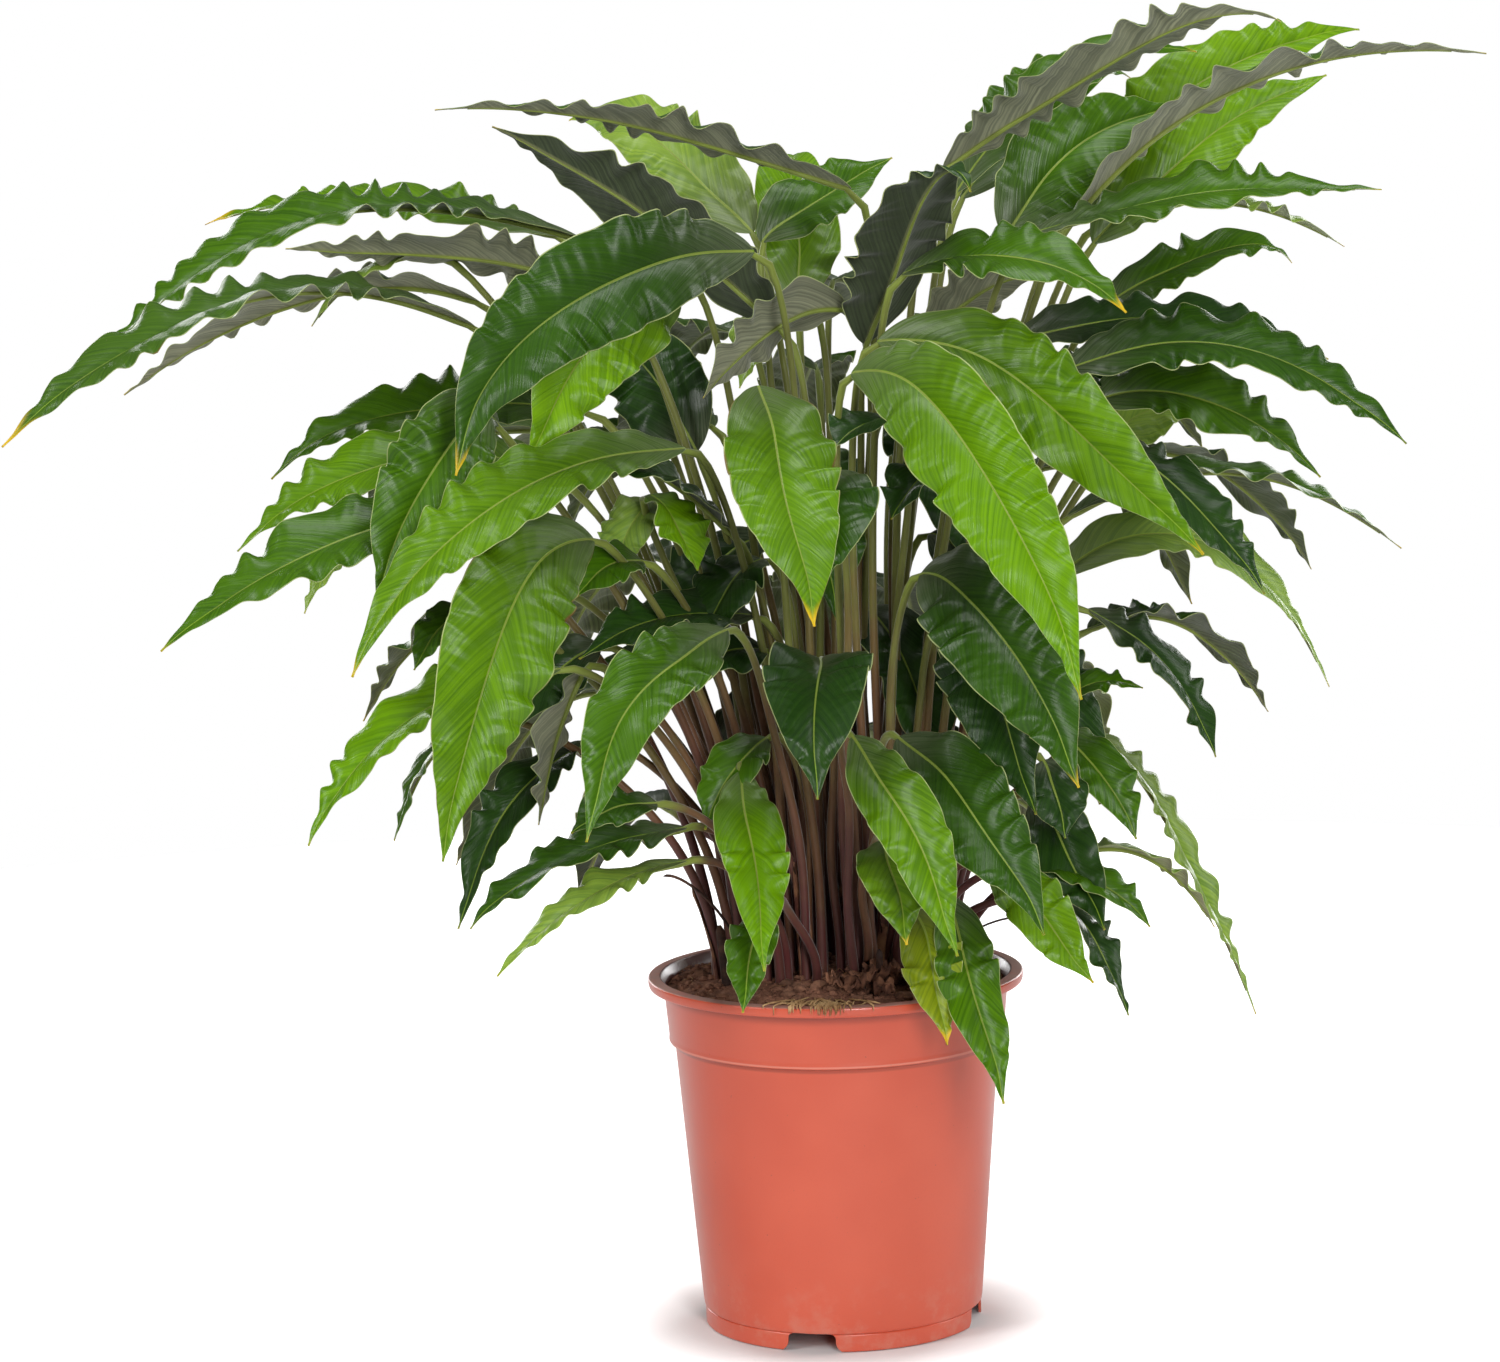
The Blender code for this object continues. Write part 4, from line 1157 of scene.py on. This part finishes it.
def lumpMesh(size, dice, points, faces, middle, stretch=(1, 1, 1)):
    # a crumb: an octahedron split once, with its corners moved
    corners = [(1, 0, 0), (-1, 0, 0), (0, 1, 0), (0, -1, 0), (0, 0, 1), (0, 0, -1)]
    triangles = [(0, 2, 4), (2, 1, 4), (1, 3, 4), (3, 0, 4), (2, 0, 5), (1, 2, 5), (3, 1, 5), (0, 3, 5)]
    made, middles = [Vector(c) for c in corners], {}
    split = []
    for a, b, c in triangles:
        ends = []
        for first, second in ((a, b), (b, c), (c, a)):
            key = (min(first, second), max(first, second))
            if key not in middles:
                middles[key] = len(made)
                made.append((made[first] + made[second]).normalized())
            ends.append(middles[key])
        ab, bc, ca = ends
        split += [(a, ab, ca), (ab, b, bc), (ca, bc, c), (ab, bc, ca)]
    start = len(points)
    for corner in made:
        moved = corner * size * dice.uniform(0.65, 1.15)
        points.append(Vector(m * s for m, s in zip(moved, stretch)) + middle)
    faces.extend(tuple(start + i for i in face) for face in split)


def threadMesh(path, radius, points, faces, sides=5):
    # a thin closed tube along a path
    start = len(points)
    count = len(path)
    for i, here in enumerate(path):
        ahead = (path[min(i + 1, count - 1)] - path[max(i - 1, 0)]).normalized()
        side = ahead.cross(Vector((0.3, 0.2, 1))).normalized()
        up = side.cross(ahead)
        thin = radius * (0.35 if i in (0, count - 1) else 1)
        for k in range(sides):
            turn = 2 * pi * k / sides
            points.append(here + (side * cos(turn) + up * sin(turn)) * thin)
    for i in range(count - 1):
        for k in range(sides):
            m = (k + 1) % sides
            a, b = start + i * sides, start + (i + 1) * sides
            faces.append((a + k, b + k, b + m, a + m))
    faces.append(tuple(start + k for k in range(sides)))
    faces.append(tuple(start + (count - 1) * sides + k for k in reversed(range(sides))))


def finishMesh(name, points, faces, material, smooth=True, nodes=()):
    mesh = bpy.data.meshes.new(name)
    mesh.from_pydata(points, [], faces)
    mesh.materials.append(material)
    mesh.polygons.foreach_set("use_smooth", [smooth] * len(mesh.polygons))
    mesh.validate()
    return addPiece(name, mesh, nodes)


def makeSoil():
    dice = np.random.default_rng(soil["seed"])
    peat = makePeat()
    points, faces = [nearSoil(0, 0)], []
    segments, rings = soil["segments"], soil["rings"]
    for ring in range(1, rings + 1):
        radius = soil["edge"] * ring / rings
        for step in range(segments):
            turn = 2 * pi * step / segments
            points.append(nearSoil(radius * cos(turn), radius * sin(turn)))
    low, lowRadius = potHeight - soil["depth"], soil["lowRadius"]
    for step in range(segments):
        turn = 2 * pi * step / segments
        points.append(Vector((lowRadius * cos(turn) + potAxis.x, lowRadius * sin(turn) + potAxis.y, low)))
    points.append(Vector((potAxis.x, potAxis.y, low)))
    for step in range(segments):
        there = (step + 1) % segments
        faces.append((0, 1 + step, 1 + there))
        for ring in range(rings):
            a, b = 1 + ring * segments, 1 + (ring + 1) * segments
            faces.append((a + step, b + step, b + there, a + there))
        last = 1 + rings * segments
        faces.append((len(points) - 1, last + there, last + step))
    finishMesh("soil_bed", points, faces, peat, nodes=["soil"])

    points, faces = [], []
    smallest, largest = soil["crumbSize"]
    for _ in range(soil["crumbs"]):
        radius, turn = soil["edge"] * 0.97 * dice.uniform(0, 1) ** 0.5, dice.uniform(0, 2 * pi)
        x, y = radius * cos(turn), radius * sin(turn)
        size = dice.uniform(0, 1) ** 2.5 * (largest - smallest) + smallest
        middle = nearSoil(x, y, size * 0.25)
        lumpMesh(size, dice, points, faces, middle, (1, 1, dice.uniform(0.5, 0.9)))
    finishMesh("soil_crumbs", points, faces, peat, smooth=False)

    points, faces = [], []
    farthest = soil["edge"] * 0.98
    for _ in range(soil["fibres"]):
        radius, turn = soil["edge"] * dice.uniform(0.3, 0.96), dice.uniform(0, 2 * pi)
        heading, length, curl = dice.uniform(0, 2 * pi), dice.uniform(0.008, 0.026), dice.uniform(-2, 2)
        x, y = radius * cos(turn), radius * sin(turn)
        path = []
        for i in range(7):
            gone, bearing = length * i / 6, heading + curl * i / 6
            px, py = x + gone * cos(bearing), y + gone * sin(bearing)
            reach = (px * px + py * py) ** 0.5
            if reach > farthest:
                px, py = px * farthest / reach, py * farthest / reach
            lift = 0.0006 + 0.0018 * sin(pi * i / 6) * dice.uniform(0.2, 1)
            path.append(nearSoil(px, py, lift))
        threadMesh(path, soil["fibreRadius"] * dice.uniform(0.5, 1.3), points, faces)
    straw = makeDryMaterial("dryStraw", tone(112, 78, 52), tone(168, 126, 88), 0.8)
    finishMesh("soil_fibres", points, faces, straw)
    print("soil laid")


makeSoil()


# what stands and lies round the crown

crown = {
    "sheaths": 28,
    "sheathHeight": (0.030, 0.070),
    "sheathRadius": 0.0033,
    "husks": 8,
    "huskPlace": (0.018, -0.068),
    "clumps": 46,
    "straws": 64,
    "seed": 21,
}


# radius of each dried stub, and the points that bend it, from the middle of the rim
stubs = (
    (
        0.0008,
        (-0.045, -0.03, -0.008),
        (-0.052, -0.036, 0.034),
        (-0.07, -0.042, 0.054),
        (-0.087, -0.046, 0.067),
        (-0.094, -0.046, 0.064),
    ),
    (0.0027, (-0.06, -0.03, -0.01), (-0.062, -0.031, 0.012), (-0.064, -0.031, 0.033)),
    (
        0.0006,
        (0.055, 0.004, 0),
        (0.072, 0, 0.02),
        (0.088, -0.004, 0.0295),
        (0.104, -0.008, 0.03),
        (0.12, -0.011, 0.0295),
    ),
    (0.0018, (0.02, -0.06, -0.006), (0.024, -0.064, 0.01), (0.023, -0.066, 0.024)),
    (0.0014, (-0.02, 0.066, -0.006), (-0.026, 0.07, 0.014), (-0.04, 0.078, 0.03)),
    (0.0022, (0.058, 0.04, -0.008), (0.066, 0.046, 0.012), (0.07, 0.05, 0.026)),
)


def shellFaces(grid, thickness, points, faces):
    # a grid of points made into one closed skin of that thickness
    rows = len(grid)
    normals = unit(np.cross(np.gradient(grid, axis=0), np.gradient(grid, axis=1)))
    ring = np.concatenate([grid, (grid + normals * thickness)[:, ::-1]], axis=1)
    wide, start = ring.shape[1], len(points)
    points.extend(Vector(p) for p in ring.reshape(-1, 3))
    faces.extend(tuple(start + i for i in face) for face in gridFaces(rows, wide, closed=True).tolist())
    faces.append(tuple(start + i for i in range(wide)))
    faces.append(tuple(start + (rows - 1) * wide + i for i in reversed(range(wide))))


def makeSheaths():
    dice = np.random.default_rng(crown["seed"])
    rows = list(leaves.values()) + list(fillers.values())
    feet = crownFeet(rows)
    points, faces = [], []
    for i in dice.permutation(len(rows))[: crown["sheaths"]]:
        height = dice.uniform(*crown["sheathHeight"])
        line, length = stalkPath(rows[i], feet[i], np.linspace(0, 0.5, 60))
        climbed = np.linspace(0, 0.5 * length, 60)
        steps = np.linspace(0, 1, 16)
        middle = np.stack([np.interp(steps * height, climbed, line[:, k]) for k in range(3)], axis=1)
        facing = dice.uniform(0, 2 * pi)
        opening = radians(130) * (1 - 0.86 * steps**1.6)
        radius = crown["sheathRadius"] * (1 + 0.25 * steps + 0.5 * np.exp(-steps / 0.12))
        across = np.linspace(-1, 1, 11)
        turn = facing + opening[:, None] * across[None, :] + 0.25 * steps[:, None]
        tear = 0.004 * np.sin(across * 9 + dice.uniform(0, 6)) * smoothStep(steps, 0.75, 1)[:, None]
        crease = 1 + 0.10 * np.sin(across * 14 + steps[:, None] * 5 + dice.uniform(0, 6))
        grid = middle[:, None, :] + np.stack(
            [radius[:, None] * crease * np.cos(turn), radius[:, None] * crease * np.sin(turn), tear], axis=-1
        )
        shellFaces(grid + np.array(rimMiddle), -0.00025, points, faces)
    paper = makeDryMaterial("paperySheath", tone(84, 44, 38), tone(150, 106, 74), 0.6)
    finishMesh("stalk_sheaths", points, faces, paper)


def makeLitter():
    dice = np.random.default_rng(crown["seed"] + 1)
    points, faces = [], []
    for _ in range(crown["husks"]):
        x = crown["huskPlace"][0] + dice.normal(0, 0.014)
        y = crown["huskPlace"][1] + dice.normal(0, 0.007)
        size, facing, curl = dice.uniform(0.006, 0.012), dice.uniform(0, pi), dice.uniform(1.5, 3.0)
        u, v = np.meshgrid(np.linspace(-1, 1, 12), np.linspace(-1, 1, 9), indexing="ij")
        bend = curl * u / 2
        rolled = [np.sin(bend) * size / curl * 2, v * size * 0.55, (1 - np.cos(bend)) * size / curl * 2]
        flat = np.stack(rolled, axis=-1)
        flat[..., 2] += 0.0016 * np.sin(v * 5 + u * 4 + dice.uniform(0, 6)) + 0.0011 * np.sin(u * 11 + v * 7)
        flat[..., 0] += 0.0012 * np.sin(v * 8 + dice.uniform(0, 6))
        turned = flat.copy()
        turned[..., 0] = flat[..., 0] * cos(facing) - flat[..., 1] * sin(facing)
        turned[..., 1] = flat[..., 0] * sin(facing) + flat[..., 1] * cos(facing)
        shellFaces(turned + np.array(nearSoil(x, y, 0.0022 + dice.uniform(0, 0.009))), 0.0004, points, faces)
    husk = makeDryMaterial("huskBrown", tone(80, 50, 40), tone(142, 98, 74), 0.9)
    finishMesh("husk_curls", points, faces, husk)

    points, faces = [], []
    for _ in range(crown["clumps"]):
        front = dice.uniform(0, 1) < 0.6
        turn = dice.normal(-pi / 2, 0.55) if front else dice.uniform(0, 2 * pi)
        radius = dice.uniform(0.060, 0.086)
        size = dice.uniform(0.0022, 0.0052)
        middle = nearSoil(radius * cos(turn), radius * sin(turn), size * 0.4)
        lumpMesh(size, dice, points, faces, middle, (1.1, 1.0, 0.7))
    clump = makeDryMaterial("peatClump", tone(74, 50, 40), tone(146, 104, 82), 0.95)
    finishMesh("peat_clumps", points, faces, clump, smooth=False)

    points, faces = [], []
    rimTop = potHeight + 0.0011
    for i in range(crown["straws"]):
        across = dice.normal(-0.010, 0.009)
        inner = dice.uniform(0.078, 0.090)
        slant, bow = dice.normal(0, 0.008), dice.uniform(0, 0.0015)
        path = [nearSoil(across, -inner, 0.001)]
        for share in (0.2, 0.4, 0.6, 0.8, 1.0):
            x = across + slant * share
            reach = inner + (rimRadius - 0.0015 - inner) * share * dice.uniform(0.9, 1.0)
            depth = -((max(reach * reach - x * x, 0)) ** 0.5)
            if reach > rimRadius - 0.008:
                height = rimTop + bow * sin(pi * share)
            else:
                height = path[0].z + (rimTop + 0.001 - path[0].z) * share
            path.append(Vector((x + potAxis.x, depth + potAxis.y, height)))
        if i % 3 != 0:
            # these hang over the outer edge of the rim
            x, drop = across + slant * 1.15, dice.uniform(0.001, 0.005)
            for beyond, down in ((0.0009, 0.0), (0.0014, drop)):
                depth = -(((rimRadius + beyond) ** 2 - x * x) ** 0.5)
                path.append(Vector((x + potAxis.x, depth + potAxis.y, rimTop - 0.0004 - down)))
        threadMesh(path, dice.uniform(0.00025, 0.0006), points, faces)
    straw = makeDryMaterial("paleStraw", tone(150, 110, 70), tone(214, 178, 130), 0.75)
    finishMesh("rim_straws", points, faces, straw)

    points, faces = [], []
    for radius, *line in stubs:
        # the two long stubs follow their curve's own spacing
        if len(line) < 5:
            smooth = evenRun(line, np.linspace(0, 1, 14))[0]
        else:
            smooth = bezier(line, np.linspace(0, 1, 18))
        path = [Vector(p) + rimMiddle for p in smooth]
        threadMesh(path, radius, points, faces, sides=8)
    driedOut = makeDryMaterial("driedStub", tone(46, 30, 26), tone(96, 66, 50), 0.7)
    finishMesh("dried_stubs", points, faces, driedOut)
    print("crown dressed")


makeSheaths()
makeLitter()


# floor, light and camera

studio = {
    "worldStrength": 0.14,
    "floorGlow": 0.7,
    "glowReach": (0.076, 0.135),  # the glow grows between these distances from the pot's axis
    "floorRadius": 1.7,
    "cameraOffset": (-0.0435, -2.5887, 0.7086),  # from the foot of the pot's axis
    "pitchDown": 7.5976,
    "roll": 1.5313,
    "lens": 112.7,
    # each light: place, size, strength in watts
    "lights": {
        "front": ((0.60, -2.7, 1.15), (0.50, 1.7), 44),
        "left": ((-2.2, -1.5, 1.7), (0.7, 1.7), 36),
        "top": ((0.1, -0.2, 2.7), (1.1, 1.1), 22),
        "right": ((2.3, 0.2, 1.2), (0.7, 1.8), 16),
        "backLeft": ((-1.3, 2.3, 0.95), (0.9, 1.7), 26),
        "backRight": ((1.4, 2.3, 0.95), (0.9, 1.7), 26),
    },
}


def makeStudio():
    world = bpy.data.worlds.new("studio")
    world.use_nodes = True
    sky = world.node_tree.nodes["Background"]
    tree = world.node_tree
    seen = tree.nodes.new("ShaderNodeLightPath").outputs["Is Camera Ray"]
    sky.inputs["Color"].default_value = (1, 1, 1, 1)
    tree.links.new(ramp(tree, seen, 0.0, 1.0, studio["worldStrength"], 1.0), sky.inputs["Strength"])
    bpy.context.scene.world = world
    bpy.context.scene.view_settings.view_transform = "Standard"
    paper, tree, shader = newMaterial("palePaper", roughness=0.9, specular=0.1)
    speckle = grain(tree, objectPlace(tree), 40.0, 3.0)
    colour = blendColour(tree, speckle, (0.80, 0.80, 0.80, 1), (0.84, 0.84, 0.84, 1))
    tree.links.new(colour, shader.inputs["Base Color"])
    shader.inputs["Emission Color"].default_value = (1, 1, 1, 1)
    seen = tree.nodes.new("ShaderNodeLightPath").outputs["Is Camera Ray"]
    apart = vectorCalc(tree, "DISTANCE", objectPlace(tree), (potAxis.x, potAxis.y, 0))["Value"]
    glow = ramp(tree, apart, *studio["glowReach"], 0.0, studio["floorGlow"])
    tree.links.new(times(tree, seen, glow), shader.inputs["Emission Strength"])
    mesh = bpy.data.meshes.new("floor")
    turns = np.linspace(0, 2 * pi, 129)[:-1]
    reach = studio["floorRadius"]
    mesh.from_pydata([(reach * cos(a), reach * sin(a), 0) for a in turns], [], [tuple(range(128))])
    mesh.materials.append(paper)
    floor = addObject("floor", mesh)
    floor.location.z = -0.0004
    aim = potAxis + Vector((0, 0, potHeight * 1.6))
    for name, (place, size, power) in studio["lights"].items():
        lamp = bpy.data.lights.new(name, "AREA")
        lamp.shape = "RECTANGLE"
        lamp.size, lamp.size_y = size
        lamp.energy = power
        holder = addObject(name, lamp)
        holder.location = Vector(place)
        holder.rotation_euler = (aim - Vector(place)).to_track_quat("-Z", "Y").to_euler()
    print("studio lit")


def makeCamera():
    lens = bpy.data.cameras.new("camera")
    lens.lens = studio["lens"]
    lens.sensor_width = 36
    lens.clip_start, lens.clip_end = 0.1, 100
    camera = addObject("camera", lens)
    camera.location = potAxis + Vector(studio["cameraOffset"])
    camera.rotation_mode = "XYZ"
    pitch, roll = radians(studio["pitchDown"]), radians(studio["roll"])
    ahead = Vector((0, cos(pitch), -sin(pitch)))
    right = Vector((1, 0, 0))
    up = right.cross(ahead)
    cameraX = right * cos(roll) - up * sin(roll)
    cameraY = up * cos(roll) + right * sin(roll)
    turn = Matrix((cameraX, cameraY, -ahead)).transposed()
    camera.rotation_euler = turn.to_euler()
    bpy.context.scene.camera = camera


makeStudio()
makeCamera()

bpy.context.view_layer.update()
